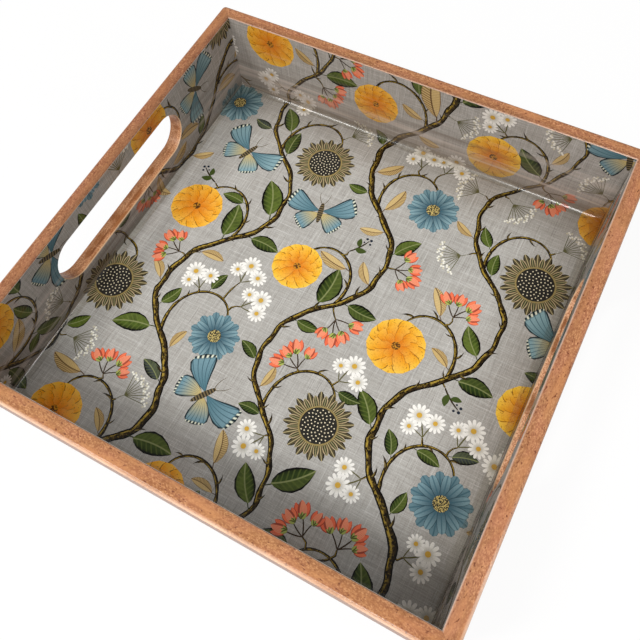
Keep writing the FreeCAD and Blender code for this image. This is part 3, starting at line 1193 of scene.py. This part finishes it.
class Drawing:
    """All outlines in paint order, each with its ink, its shade and three anchors: corners whose
    ink coordinates are kept."""

    def __init__(self, ground):
        self.points, self.faces, self.inks, self.shades = [], [], [], []
        self.anchors, self.anchor_inks = [], []
        sheet = SHEET_HALF * np.array([(-1.0, -1.0), (1.0, -1.0), (1.0, 1.0), (-1.0, 1.0)])
        self.lay(sheet, np.column_stack([sheet, np.zeros(4)]), ground, 0.5)

    def lay(self, spots, ink_places, ink, shade):
        """One more outline on top, turned to run anticlockwise."""
        third = len(spots) // 3
        three = [0, third, 2 * third]
        self.anchors.append(spots[three])
        self.anchor_inks.append(ink_places[three])
        if signed_area(spots) < 0.0:
            spots = spots[::-1]
        first = len(self.points)
        self.points.extend(spots.tolist())
        self.faces.append(list(range(first, len(self.points))))
        self.inks.append(ink)
        self.shades.append(float(shade))

    def add(self, mesh, ink):
        """Every face of a flat mesh, in its order."""
        spots = values_of(mesh.vertices, "co", 3)[:, :2]
        ink_places = values_of(mesh.attributes["ink"].data, "vector", 3)
        shades = np.full((len(spots), 1), 0.5)
        if "shade" in mesh.attributes:
            shades = values_of(mesh.attributes["shade"].data, "value", 1)
        for polygon in mesh.polygons:
            corners = list(polygon.vertices)
            if on_sheet(spots[corners]) and abs(signed_area(spots[corners])) >= SMALLEST_AREA:
                self.lay(spots[corners], ink_places[corners], ink, shades[corners[0], 0])
        bpy.data.meshes.remove(mesh)

    def flatten(self):
        """Cuts all outlines into one layer. Returns points, triangles and the winning outlines."""
        points = list(self.points)
        lines = []
        for at in (-FOLD, FOLD):
            for ends in (((at, -SHEET_HALF), (at, SHEET_HALF)), ((-SHEET_HALF, at), (SHEET_HALF, at))):
                lines.append((len(points), len(points) + 1))
                points.extend(ends)
        for side in (-1.0, 1.0):
            rim = slot_outline(side)
            first = len(points)
            lines.extend((first + i, first + (i + 1) % len(rim)) for i in range(len(rim)))
            points.extend(rim)
        flat = delaunay_2d_cdt([Vector(p) for p in points], lines, self.faces, 1, CLOSE)
        tops = np.array([max(sources) if sources else 0 for sources in flat[5]])
        return np.array([tuple(p) for p in flat[0]]), np.array(flat[2]), tops


print("slot outline corners:", len(slot_outline(1.0)))

# %% [markdown]
# Ink materials follow. All of them lie under the same clear coat, so a common start gives them
# that: an opaque skin with a coat that is nearly a mirror on the poured floor. Painted shade
# darkens the floor's print near the right and back walls, and painted light lightens it close to
# the front one. On the walls the coat was brushed, so it is thinner and duller, and wavy along the
# strokes. All wall print is darkened as painted shade, with a slight amber tint of the coat; low
# on the walls it is darker still, with more painted shade on the right and back walls, and a brown
# veil, strongest on the back wall, that is partly the thick coat where it pooled and partly a
# painted reflection. Pale and dark streaks low on the walls are painted reflections.

# %% Inks under the clear coat
WALL_SHADE_REACH = 50.0 * MM                        # painted shade on the floor's print deepens from here to the wall
FRONT_LIGHT_STRIP = (42.0 * MM, 22.0 * MM)         # from the front wall: painted light lightens the print between these
POOLED = (FLOOR_Z + 4.0 * MM, FLOOR_Z + 34.0 * MM)
REFLECTION_STREAKS_REACH = (FLOOR_Z + 50.0 * MM, FLOOR_Z + 20.0 * MM)
WALL_BAND = 30.0 * MM                        # the painted shade of the back and right walls, and the back wall's veil, fade in over this


class Ink(Finish):
    """A printed ink. surface is 'floor' or 'wall' and sets the coat over it."""

    def __init__(self, name, surface):
        super().__init__("ink_" + name + "_" + surface)
        self.surface = surface
        ink = self.add("ShaderNodeAttribute", output="Vector", attribute_name="ink")
        self.along, self.across, self.part = self.split(ink)
        self.shade = self.add("ShaderNodeAttribute", output="Fac", attribute_name="shade")
        self.sheet = self.places()

    def from_edge(self, blade):
        """How near the blade's outline a point lies, and its distance from the middle line."""
        x = self.calc("MINIMUM", self.most(self.along, 0.01), 0.99)
        rest = 1.0 - x
        off = self.across - x * rest * (4.0 * blade.bend)
        half = x ** blade.root * rest ** blade.tip * blade.width
        return abs(off) / half, off

    def by_part(self, *colours):
        """The colour for each part number, from 0 upwards."""
        chosen = colours[0]
        for number, colour in enumerate(colours[1:], 1):
            chosen = self.mix(self.part > number - 0.5, chosen, colour)
        return chosen

    def poured(self, printed):
        """The floor's print with painted shade near the right and back walls and painted light near the front
        one, and the coat's waves.
        """
        x, y, _ = self.split(self.sheet)
        # Painted shade near the right and back walls, and painted light near the front wall.
        for share, tint in ((x.ease(LINED_HALF - WALL_SHADE_REACH, LINED_HALF), (0.70, 0.67, 0.64, 1.0)),
                            (y.ease(LINED_HALF - WALL_SHADE_REACH, LINED_HALF), (0.62, 0.59, 0.56, 1.0)),
                            (y.ease(*[gap - LINED_HALF for gap in FRONT_LIGHT_STRIP]), (1.32, 1.31, 1.3, 1.0))):
            printed = printed.blend(share, tint, "MULTIPLY")
        return printed, self.bump(self.noise(self.sheet, 13.0, 1.0), 1.0, 0.22 * MM)

    def brushed(self, printed):
        """The walls' print darkened as painted shade, with a veil, painted shade and painted reflection
        streaks low on the walls, and the coat's waves.
        """
        x, y, height = self.split(self.sheet)
        brushing = self.noise(self.stretch(self.sheet, (9.0, 9.0, 260.0)))
        reflection_streaks = self.noise(self.stretch(self.sheet, (7.0, 7.0, 190.0), (0.2, 0.4, 0.6)))
        reach = height.fit(*REFLECTION_STREAKS_REACH)
        pooled = height.ease(*POOLED, 1.0, 0.0) * brushing.fit(0.35, 0.65, 0.55, 1.0)
        at_back = y.fit(LINED_HALF - WALL_BAND, LINED_HALF)
        at_right = x.fit(LINED_HALF - WALL_BAND, LINED_HALF)
        # Painted shade low on the right and back walls, laid on with the tints below.
        low_wall_shade = self.calc("MULTIPLY_ADD", pooled * at_right, 0.5, pooled * at_back.fit(0.0, 1.0, 0.45, 0.0))
        deep = self.mix(at_right, (0.66, 0.6, 0.56, 1.0), (0.5, 0.45, 0.42, 1.0))
        # Painted shade: all wall print is darkened, with a slight amber tint of the coat.
        printed = printed.blend(1.0, (0.72, 0.68, 0.66, 1.0), "MULTIPLY")
        # A brown veil low on the walls, strongest on the back wall: partly the thick pooled coat, partly a
        # painted reflection.
        printed = printed.blend(pooled * at_back.fit(0.0, 1.0, 0.16, 0.58), (122, 106, 92))
        printed = printed.blend(low_wall_shade, deep, "MULTIPLY")
        # Painted reflections: pale and dark streaks on the lower part of the walls.
        printed = printed.layers((reflection_streaks.fit(0.54, 0.7, 0.0, 0.45) * reach, (190, 174, 162)),
                                 (reflection_streaks.fit(0.46, 0.3, 0.0, 0.5) * reach, (92, 74, 60)))
        return printed, self.bump(brushing, 1.0, 0.6 * MM)

    def coat(self, colour):
        """The finished ink: its colour, a little print grain, the painted shade and light of its place, and
        the clear coat.
        """
        grain = self.noise(self.sheet, 1500.0, 2.0, 0.6).fit(0.35, 0.7, 0.0, 0.16)
        printed = self.mix(grain, colour, (0.05, 0.05, 0.04, 1.0), "MULTIPLY")
        if self.surface == "floor":
            printed, waves = self.poured(printed)
            self.set(coat_weight=0.9, coat_roughness=0.045, coat_ior=1.24)
        else:
            printed, waves = self.brushed(printed)
            self.set(coat_weight=0.6, coat_roughness=0.15, coat_ior=1.4)
        return self.set(base_color=printed, roughness=0.6, specular=0.0, coat_normal=waves)


print("coats: poured on the floor, brushed on the walls")

# %% [markdown]
# What differs is the colour, which each ink works out from its place on the blade: edge is 0 on
# a blade's middle line and 1 on its outline, off is the distance to one side of that line, and
# veins, streaks and drawn outlines all come from these and from the place along the blade. First
# come the ground, the stems and the leaves, each in a function that gives the ink's colour.

# %% Ground, stems and leaves
INK_LINE = (8, 7, 4)


def linen(ink):
    """The cloth-look ground: warm grey threads, some of them thicker and paler or darker."""
    def threads(along, across, layer, detail=1.0, roughness=0.5):
        return ink.noise(ink.join(ink.along * along, ink.across * across, layer), 1.0, detail, roughness)
    weft = threads(0.055, 2.1, 0.3)
    warp = threads(2.1, 0.055, 7.7)
    fine = threads(1.2, 1.2, 3.1, 2.0, 0.7)
    return ink.mix(weft.fit(0.36, 0.66), (169, 166, 160), (188, 186, 181)).layers(
        (warp.fit(0.58, 0.72, 0.0, 0.7), (206, 205, 201)), (warp.fit(0.42, 0.3, 0.0, 0.6), (142, 138, 133)),
        (weft.fit(0.64, 0.74, 0.0, 0.6), (210, 209, 206)), (fine.fit(0.35, 0.7, 0.0, 0.3), (140, 138, 134)))


def bark(ink):
    """Stems: dark sides, a paler ridge, mossy flecks and short rings across. along is in mm."""
    rough = ink.noise(ink.join(ink.along * 0.32, ink.across * 1.6, 0.0), 1.0, 3.0, 0.65)
    flecks = ink.noise(ink.sheet, 700.0, 2.0, 0.7)
    return ink.mix(rough.fit(0.42, 0.6), (15, 10, 5), (78, 60, 28)).layers(
        (flecks.fit(0.56, 0.64, 0.0, 0.5), (168, 142, 62)),
        (ink.across.line(-0.35, 0.34) * rough.fit(0.42, 0.56) * 0.7, (190, 160, 62)),
        (ink.across.fit(0.0, 0.7, 0.0, 0.85), (22, 16, 9)), (abs(ink.across).fit(0.6, 0.74), INK_LINE))


def leaf(ink):
    """Leaves: one half paler, drawn veins, a dark outline. A few come out slate grey."""
    edge, off = ink.from_edge(LEAF)
    green = ink.mix(ink.shade.fit(0.0, 0.85), (42, 60, 22), (80, 98, 36))
    green = green.blend(ink.shade > 0.88, (62, 68, 68))
    light = green.blend(0.45, (124, 134, 66))
    body = ink.mix(off > 0.0, green, green.blend(0.45, light)).layers(
        (ink.noise(ink.sheet, 260.0).fit(0.4, 0.7, 0.0, 0.45), (32, 42, 20)),
        (edge.ease(0.3, 0.9, 0.0, 0.75) * off.fit(0.02, -0.02), (14, 18, 6)),
        ((ink.along * 8.0 - edge * 1.3).stripes(0.2) * 0.5, light),
        (off.line(0.0, 0.022) * 0.8, (140, 146, 96)), (edge.fit(0.74, 0.85), INK_LINE))
    return ink.by_part(body, body, body, body, ink.mix(0.3, (40, 36, 22), green))


def frond(ink):
    """The larger tan leaves, hatched along one side."""
    edge, off = ink.from_edge(FROND)
    hatch = (ink.along * 17.0 - edge * 1.6).stripes(0.34) * off.fit(-0.02, 0.03).fit(0.0, 1.0, 0.75, 0.15)
    body = ink.mix(ink.shade, (214, 188, 132), (200, 172, 114)).layers(
        (hatch, (112, 80, 46)), (off.line(0.0, 0.02) * 0.9, (96, 68, 44)),
        (edge.fit(0.85, 0.96, 0.0, 0.9), (92, 66, 42)))
    return ink.by_part(body, body, body, body, (90, 66, 44))


print("the drawn line's colour:", INK_LINE)

# %% [markdown]
# Petals are shaded along the blade, from a dark root to a pale tip or the other way round, and
# get a darker drawn edge. The heart of a blossom is a freckled disc. Wings have veins that fan
# out from the root, which is a place across the blade divided by the place along it.

# %% Blossoms and wings
def round_petals(ink):
    """Yellow petals that deepen to orange at the root, with a brown drawn edge and freckles."""
    edge, off = ink.from_edge(ROUND_PETAL)
    freckles = ink.noise(ink.sheet, 900.0, 1.0)
    warm = ink.mix(ink.shade, (250, 204, 62), (240, 172, 46))
    body = ink.mix(ink.along.fit(0.45, 0.95), (224, 132, 28), warm).layers(
        (off.fit(-0.2, 0.25) * 0.35, (255, 226, 120)),
        ((edge * 2.5).stripes(0.22) * ink.along.fit(0.3, 0.9, 0.5, 0.0), (190, 100, 24)),
        (freckles.fit(0.64, 0.7, 0.0, 0.55), (110, 66, 22)), (edge.fit(0.84, 0.95, 0.0, 0.85), (96, 54, 16)))
    inner = body.blend(0.35, (232, 140, 30))
    heart = ink.mix(freckles.fit(0.45, 0.6), (92, 56, 26), (206, 142, 44))
    return ink.by_part(body, inner, inner.blend(0.3, (214, 112, 26)), heart)


def star_petals(ink):
    """Slim blue petals with darker streaks and a dark freckled heart."""
    edge, off = ink.from_edge(SLIM_PETAL)
    blue = ink.mix(ink.shade, (146, 176, 182), (122, 154, 164))
    body = ink.mix(ink.along.fit(0.25, 0.9), (54, 84, 98), blue).layers(
        (off.line(0.0, 0.03) * 0.7, (60, 96, 110)), (edge.fit(0.8, 0.93, 0.0, 0.9), (30, 56, 68)))
    heart = ink.mix(ink.noise(ink.sheet, 1400.0, 1.0).fit(0.46, 0.56), (40, 42, 40), (196, 176, 110))
    return ink.by_part(body, body.blend(0.4, (56, 92, 106)), body, heart)


def seed_head(ink):
    """A dark seed head with cream dots, a tan rim and pointed petals."""
    edge, off = ink.from_edge(POINTED_PETAL)
    midrib = off.line(0.0, 0.03) * 0.8
    outer = ink.mix(ink.along.fit(0.3, 0.9), (150, 132, 92), (204, 182, 146)).layers(
        (edge.fit(0.62, 0.5), (62, 64, 44)), (midrib, (176, 166, 120)), (edge.fit(0.84, 0.94), (34, 30, 24)))
    dark = ink.mix(edge.fit(0.62, 0.72), (84, 76, 54), (26, 24, 20)).blend(midrib, (196, 180, 134))
    return ink.by_part(outer, dark, (150, 132, 84), (44, 42, 38), (232, 220, 188))


def wings(ink):
    """Blue wings with fanned dark veins, a dark rim with pale spots, and a dark body."""
    blue = ink.mix(ink.shade, (142, 174, 180), (112, 146, 158))

    def wing(blade, tint):
        edge, off = ink.from_edge(blade)
        fan = off / (ink.along + 0.12)
        rim = ink.most(edge.fit(0.8, 0.9), ink.along.fit(0.86, 0.92))
        return ink.mix(ink.along.fit(0.1, 0.8), tint, blue).layers(
            ((fan * 7.0 + 0.5).stripes(0.12) * 0.75, (52, 84, 96)), (rim, (28, 40, 46)),
            (ink.along.line(0.93, 0.05) * (fan * 9.0).stripes(0.3), (222, 226, 206)))

    hind = wing(HIND_WING, (206, 184, 120))
    bands = ink.calc("SINE", ink.along * 60.0).fit(-0.4, 0.6)
    trunk = ink.mix(bands, (50, 46, 38), (120, 104, 74))
    return ink.by_part(wing(FORE_WING, (78, 116, 128)), hind, hind, trunk)


def cup_petals(ink):
    """Coral petals, darker at the sides, on a pale green cup and a brown stalk."""
    edge, _ = ink.from_edge(CUP_PETAL)
    coral = ink.mix(ink.shade, (242, 126, 88), (232, 106, 74))
    front = ink.mix((edge * 3.0).stripes(0.25) * 0.6, (248, 158, 122), (204, 78, 54))
    front = front.blend(edge.fit(0.85, 0.95, 0.0, 0.8), (140, 40, 28))
    cup = ink.mix(edge.fit(0.5, 0.9), (168, 178, 92), (70, 78, 34))
    return ink.by_part(front, coral.blend(edge.fit(0.6, 0.92), (146, 44, 30)), cup, cup, (58, 44, 28))


def daisy_petals(ink):
    """White petals with a grey root and edge, and a yellow heart."""
    edge, _ = ink.from_edge(SLIM_PETAL)
    white = ink.mix(ink.along.fit(0.1, 0.6), (190, 186, 172), (242, 240, 234))
    white = white.blend(edge.fit(0.85, 0.98, 0.0, 0.6), (160, 158, 148))
    return ink.by_part(white, white, white, (206, 164, 66), (92, 88, 52))


print("a round petal's half width at half its length:", round(ROUND_PETAL.edge(0.5, 1.0)[1], 3))

# %% [markdown]
# The smallest motifs need no shading, only flat colours by part. With them the set is complete,
# and a loop makes every ink twice, for the poured floor and for the brushed walls.

# %% All inks
def flat_colours(*colours):
    """An ink of flat colours by part."""
    return lambda ink: ink.by_part(*colours)


INK_COLOURS = {            # in the order in which they are printed
    "linen": linen, "stem": bark, "leaf": leaf, "frond": frond,
    "lace_flower": flat_colours((240, 238, 226), (206, 200, 176), (0, 0, 0), (0, 0, 0), (96, 94, 62)),
    "bud": flat_colours((44, 35, 20), (120, 102, 52)),
    "berry_sprig": flat_colours((66, 80, 36), (36, 42, 54), (0, 0, 0), (0, 0, 0), (50, 40, 24)),
    "daisy": daisy_petals, "cup_flower": cup_petals, "round_blossom": round_petals,
    "star_blossom": star_petals, "seed_blossom": seed_head, "butterfly": wings,
}


def all_inks(surface):
    inks = {name: Ink(name, surface) for name in INK_COLOURS}
    return {name: ink.coat(INK_COLOURS[name](ink)) for name, ink in inks.items()}


INKS = {surface: all_inks(surface) for surface in ("floor", "wall")}
print("inks:", len(INKS["floor"]) + len(INKS["wall"]))

# %% [markdown]
# Now the drawing is printed: first the stems, then every kind of motif in its order, so that
# blossoms lie over leaves and leaves over stems. Each is grown by its tree and handed over as a
# plain mesh. Flattening comes last and once, because it needs all outlines at the same time.

# %% Draw and flatten
STEM_SPACING = 2.6         # mm between the ribbon's crosswise edges

drawing = Drawing("linen")
ribbons = stem_curves("stems", garden.stems + vines)
drawing.add(drawn("stems", ribbons, stem_tree, Spacing=STEM_SPACING, Ink=INKS["floor"]["stem"]), "stem")
for name in list(INK_COLOURS)[2:]:
    places = place_points(name, garden.places[name])
    drawing.add(drawn(name, places, motif_tree, Motif=motif_objects[name], Ink=INKS["floor"][name]), name)
for motif in motif_objects.values():
    bpy.data.objects.remove(motif)
flat_points, flat_triangles, flat_tops = drawing.flatten()
print("outlines:", len(drawing.faces), "flat triangles:", len(flat_triangles))

# %% [markdown]
# The flat drawing is now parted along the folds into five sheets. Each is folded up where it
# belongs, given the sheet's thickness, and closed at its back, so it is a real thin solid. Two
# things are kept per triangle corner: the ink coordinates, and a UV map that is simply the flat
# sheet, so that colours can be baked onto it without overlaps.

# %% Fold and close the sheets
CUT_MARGIN = 0.02          # mm; a triangle is cut out when its middle is this far inside the slot
# Where one step along the sheet's x, one along its y, and its middle go.
PANELS = {
    "floor_print": ("floor", ((1, 0, 0), (0, 1, 0), (0, 0, 0))),
    "right_print": ("wall", ((0, 0, 1), (0, 1, 0), (FOLD, 0, -FOLD))),
    "left_print": ("wall", ((0, 0, -1), (0, 1, 0), (-FOLD, 0, -FOLD))),
    "back_print": ("wall", ((1, 0, 0), (0, 0, 1), (0, FOLD, -FOLD))),
    "front_print": ("wall", ((1, 0, 0), (0, 0, -1), (0, -FOLD, -FOLD))),
}


def panel_of(x, y):
    """Which sheet each centre lies on; '' where there is no paper."""
    names = np.full(len(x), "", dtype=object)
    wide, deep = np.abs(x), np.abs(y)
    names[(wide < FOLD) & (deep < FOLD)] = "floor_print"
    names[(x > FOLD) & (deep < FOLD)] = "right_print"
    names[(x < -FOLD) & (deep < FOLD)] = "left_print"
    names[(y > FOLD) & (wide < FOLD)] = "back_print"
    names[(y < -FOLD) & (wide < FOLD)] = "front_print"
    from_slot = np.hypot(wide - SLOT_MIDDLE, np.maximum(deep - SLOT_STRAIGHT, 0.0))
    names[(from_slot < SLOT_RADIUS - CUT_MARGIN) | (np.maximum(wide, deep) > SHEET_HALF)] = ""
    return names


def with_one(rows):
    """Rows (x, y) as (x, y, 1), so that a 3 by 3 matrix can move them too."""
    return np.concatenate([rows, np.ones(rows.shape[:-1] + (1,))], axis=-1)


def fold_sheet(node, triangles, tops):
    """The finished thin solid of one sheet."""
    surface, fold = PANELS[node]
    used, local = np.unique(triangles, return_inverse=True)
    local = local.reshape(-1, 3)
    flat = flat_points[used]
    place = MM * with_one(flat) @ np.array(fold)
    place[:, 2] += FLOOR_Z
    mesh = new_mesh("lining_" + node, place.tolist(), local.tolist())
    for material in INKS[surface].values():
        mesh.materials.append(material)
    names = list(INK_COLOURS)
    mesh.polygons.foreach_set("material_index", [names.index(drawing.inks[top]) for top in tops])
    corners = flat[local.reshape(-1)]
    inked = np.einsum("ij,ijk->ik", with_one(corners), ink_maps[np.repeat(tops, 3)])
    note(mesh, "ink", "FLOAT_VECTOR", inked, "CORNER")
    note(mesh, "shade", "FLOAT", np.array(drawing.shades)[tops], "FACE")
    low, high = corners.min(axis=0), corners.max(axis=0)
    flat_map = 0.005 + 0.96 * (corners - low) / float(max(high - low))
    mesh.uv_layers.new(name="OFBake").data.foreach_set("uv", flat_map.ravel())
    close_back(mesh)
    return mesh


def close_back(mesh):
    """Gives the sheet its thickness: side strips round every open edge and a back face."""
    with reshaped(mesh) as work:
        work.normal_update()
        work.faces.ensure_lookup_table()
        down = -PAPER * work.faces[0].normal
        grown = bmesh.ops.extrude_edge_only(work, edges=[e for e in work.edges if e.is_boundary])["geom"]
        bmesh.ops.translate(work, verts=[v for v in grown if isinstance(v, bmesh.types.BMVert)], vec=down)
        low_edges = [edge for edge in grown if isinstance(edge, bmesh.types.BMEdge) and edge.is_boundary]
        back = bmesh.ops.triangle_fill(work, edges=low_edges, use_beauty=True)["geom"]
        bmesh.ops.recalc_face_normals(work, faces=work.faces)
        uv = work.loops.layers.uv["OFBake"]
        for face in [face for face in grown + back if isinstance(face, bmesh.types.BMFace)]:
            face.material_index = 0
            for loop in face.loops:
                x, y, z = loop.vert.co
                loop[uv].uv = (0.98 + 0.03 * (x + y), 0.98 + 0.03 * (x - y + z))


# For each outline the 3 by 3 matrix that turns (x, y, 1) into its ink coordinates.
ink_maps = np.linalg.solve(with_one(np.array(drawing.anchors)), np.array(drawing.anchor_inks))
centres = flat_points[flat_triangles].mean(axis=1)
panel_names = panel_of(centres[:, 0], centres[:, 1])
for node in PANELS:
    chosen = panel_names == node
    mesh = fold_sheet(node, flat_triangles[chosen], flat_tops[chosen])
    tray_piece("lining_" + node, mesh, node)

# %% [markdown]
# The poured coat has drawn itself up the walls, as resin does before it sets, and left a small
# hollow bead all round the floor. The flat part of the coat is in the inks' own clear coat, so
# only the bead is modelled: closed loops that follow the walls, each a little further in and
# lower, whose corners get rounder inwards because the resin pools there. Its pull on the walls
# isn't even, so its size wavers a little along the way. It is clear, so its material only adds a
# reflection, as strong as Fresnel says, and lets the print show through.

# %% Resin bead
BEAD_LIFT = 0.015 * MM
BEAD_RADIUS = 0.97 * (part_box("floor_coat")[1].z - FLOOR_Z - BEAD_LIFT)
BEAD_STEPS = 9
BEAD_CREASE = math.radians(45.0)
SIDE_STEPS = 60
TURN_STEPS = 8
QUARTER = math.radians(90.0)


def bead_place(index, inset, height):
    """The point of one loop at an index: inset from the wall and height over the floor."""
    corner, step = divmod(index, TURN_STEPS + SIDE_STEPS)
    swell = 1.0 + 0.05 * math.sin(0.21 * index) + 0.03 * math.sin(0.57 * index + 1.0)
    inset *= swell
    radius = 0.4 * MM + 1.7 * inset
    reach = LINED_HALF - BEAD_LIFT - inset - radius
    if step <= TURN_STEPS:
        x, y = polar(radius, QUARTER * step / TURN_STEPS, (reach, reach))
    else:
        x, y = reach * (1.0 - 2.0 * (step - TURN_STEPS) / SIDE_STEPS), reach + radius
    place = Matrix.Rotation(QUARTER * corner, 2) @ Vector((x, y))
    return *place, FLOOR_Z + BEAD_LIFT + height * swell


def bead_mesh():
    """The bead as one closed ring."""
    turns = [QUARTER * step / BEAD_STEPS for step in range(BEAD_STEPS + 1)]
    section = [(BEAD_RADIUS * (1.0 - math.cos(turn)), BEAD_RADIUS * (1.0 - math.sin(turn))) for turn in turns]
    section.append((0.0, 0.0))
    around = 4 * (TURN_STEPS + SIDE_STEPS)
    rows = [[row * around + i for i in range(around)] for row in range(len(section))]
    faces = []
    for row, next_row in zip(rows, rows[1:] + rows[:1]):
        faces += zip(row, row[1:] + row[:1], next_row[1:] + next_row[:1], next_row)
    mesh = new_mesh("resin_bead", [bead_place(i, *spot) for spot in section for i in range(around)], faces)
    with reshaped(mesh) as work:
        bmesh.ops.recalc_face_normals(work, faces=work.faces)
        for face in work.faces:
            face.smooth = True
        for edge in work.edges:
            edge.smooth = edge.calc_face_angle(0.0) < BEAD_CREASE
    return mesh


resin = Finish("clear_resin")
facing = resin.add("ShaderNodeNewGeometry", output="Backfacing")
gloss = resin.add("ShaderNodeBsdfAnisotropic", {"Color": (0.8, 0.8, 0.8, 1.0), "Roughness": 0.2})
shine = resin.add("ShaderNodeFresnel", {"IOR": 1.5}) * (1.0 - facing)
clear = resin.add("ShaderNodeBsdfTransparent", {"Color": (0.96, 0.955, 0.94, 1.0)})
resin.end(resin.add("ShaderNodeMixShader", {0: shine, 1: clear, 2: gloss}))
resin.nodes.remove(resin.skin)

bead = bead_mesh()
bead.materials.append(resin.material)
tray_piece("resin_bead", bead, "floor_coat")

# %% [markdown]
# The base is a wood-fibre panel with a thin seal. Fibre board has no grain that runs one way: it
# is felted from short fibres that lie in all directions, with a few dark specks. Three noises
# stretched at different angles give the fibres, and a cloudy one the uneven seal.

# %% Base panel
def fibre_board():
    board = Finish("fibre_board")
    place = board.places()
    clouds = board.noise(place, 30.0, 3.0)
    specks = board.noise(place, 640.0, 1.0)
    body = board.mix(clouds.fit(0.35, 0.65), (150, 116, 84), (132, 100, 72))
    for angle, depth in ((25.0, 0.35), (-40.0, 0.3), (82.0, 0.3)):
        lie = board.stretch(place, (180.0, 2300.0, 900.0), (angle * 0.01, 0.0, 0.0), angle)
        fibres = board.noise(lie, 1.0, 2.0, 0.6)
        body = body.layers((fibres.fit(0.54, 0.7, 0.0, depth), (96, 66, 44)),
                           (fibres.fit(0.44, 0.3, 0.0, depth), (186, 152, 112)))
    body = body.blend(specks.fit(0.72, 0.76, 0.0, 0.7), (58, 38, 26))
    return board.set(base_color=body, roughness=clouds.fit(0.3, 0.7, 0.5, 0.62), coat_weight=0.2,
                     coat_roughness=0.3, normal=board.bump(specks, 0.2, 0.04 * MM))


welded_copy("base_panel", "fibre_base_panel", fibre_board())

# %% [markdown]
# Panel pins hold the mitres and the base. They repeat, so one pin is turned from a profile and
# Geometry Nodes set it on every place. The places and directions are read from the CAD pins: each
# separate solid's box gives them, with the head at its outer or lower end. The mitre pins are
# sunk and filled over, so only the base pins' heads show, on the underside.

# %% Panel pins
PIN_SHANK = 0.6 * MM
PIN_HEAD = 1.0 * MM
PIN_HEAD_THICK = 0.5 * MM
PIN_POINT = 1.4 * MM
PIN_SIDES = 14
PIN_CREASE = math.radians(40.0)


def islands(node):
    """The box of every separate solid in a CAD node."""
    work = bmesh.new()
    work.from_mesh(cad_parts[node].data)
    bmesh.ops.remove_doubles(work, verts=work.verts, dist=WELD)
    waiting = set(work.verts)
    boxes = []
    while waiting:
        front = [waiting.pop()]
        found = []
        while front:
            corner = front.pop()
            found.append(corner.co.copy())
            near = {edge.other_vert(corner) for edge in corner.link_edges} & waiting
            waiting -= near
            front.extend(near)
        boxes.append(span(found))
    work.free()
    return boxes


def pin_object(name, length):
    """One pin along +X from the top of its head, with a dimpled head and a pyramid point."""
    profile = [(0.06 * MM, 0.0), (0.0, 0.45 * PIN_HEAD), (0.0, 0.86 * PIN_HEAD), (0.1 * MM, PIN_HEAD),
               (0.8 * PIN_HEAD_THICK, PIN_HEAD), (PIN_HEAD_THICK, 0.85 * PIN_HEAD),
               (1.6 * PIN_HEAD_THICK, PIN_SHANK), (length - PIN_POINT, PIN_SHANK), (length, 0.0)]
    mesh = bpy.data.meshes.new(name)
    with reshaped(mesh) as work:
        line = [work.verts.new((along, reach, 0.0)) for along, reach in profile]
        edges = [work.edges.new(pair) for pair in zip(line, line[1:])]
        bmesh.ops.spin(work, geom=line + edges, cent=(0, 0, 0), axis=(1, 0, 0), angle=math.tau,
                       steps=PIN_SIDES, use_merge=True)
        bmesh.ops.remove_doubles(work, verts=work.verts, dist=0.001 * MM)
        bmesh.ops.recalc_face_normals(work, faces=work.faces)
    return bpy.data.objects.new(name, mesh)


def pin_steel():
    steel = Finish("pin_steel")
    marks = steel.noise(steel.places(), 5200.0)
    grey = steel.mix(marks.fit(0.4, 0.6), (176, 176, 178), (148, 147, 148))
    return steel.set(base_color=grey, metallic=1.0, roughness=marks.fit(0.3, 0.7, 0.28, 0.42),
                     normal=steel.bump(marks, 0.2, 0.01 * MM))


STEEL = pin_steel()
pin_tree, grow, given = new_tree("pin on every place", Pin="Object", Steel="Material")
aim = named(grow, "aim", "FLOAT_VECTOR")
turned = grow.add("FunctionNodeAlignRotationToVector", {"Vector": aim}, axis="X")
end_tree(grow, on_every_place(grow, given["Geometry"], given["Pin"], turned), given["Steel"])


def set_pins(node, name, axis):
    """All pins of a node. axis is 0 for pins driven inwards along X, 2 for pins driven up."""
    places, aims = [], []
    for low, high in islands(node):
        place = (low + high) / 2.0
        inwards = axis == 2 or place.x < 0.0
        place[axis] = low[axis] if inwards else high[axis]
        aim = Vector((0.0, 0.0, 0.0))
        aim[axis] = 1.0 if inwards else -1.0
        places.append(place)
        aims.append(aim)
    length = high[axis] - low[axis]
    points = new_mesh(name + "_places", places)
    note(points, "aim", "FLOAT_VECTOR", aims)
    pattern = pin_object(name + "_pattern", length)
    mesh = drawn(name, points, pin_tree, Pin=pattern, Steel=STEEL)
    bpy.data.objects.remove(pattern)
    for polygon in mesh.polygons:
        polygon.use_smooth = True
    mesh.set_sharp_from_angle(angle=PIN_CREASE)
    tray_piece(name, mesh, node)
    print(len(places), "pins of", round(length / MM, 1), "mm")


set_pins("corner_pins", "mitre_pins", 0)
set_pins("base_pins", "base_panel_pins", 2)

# %% [markdown]
# Filler levels the holes over the mitre pins. It has no grain and takes the lacquer a little
# darker than the wood, so it shows as small even dots on the left and right boards.

# %% Filler plugs
def filler():
    paste = Finish("wood_filler")
    crumbs = paste.noise(paste.places(), 2600.0)
    return paste.set(base_color=paste.mix(crumbs.fit(0.35, 0.65), (150, 92, 62), (172, 112, 78)),
                     roughness=0.5, coat_weight=0.5, coat_roughness=0.2,
                     normal=paste.bump(crumbs, 0.3, 0.03 * MM))


welded_copy("corner_pin_fills", "filler_plugs", filler())
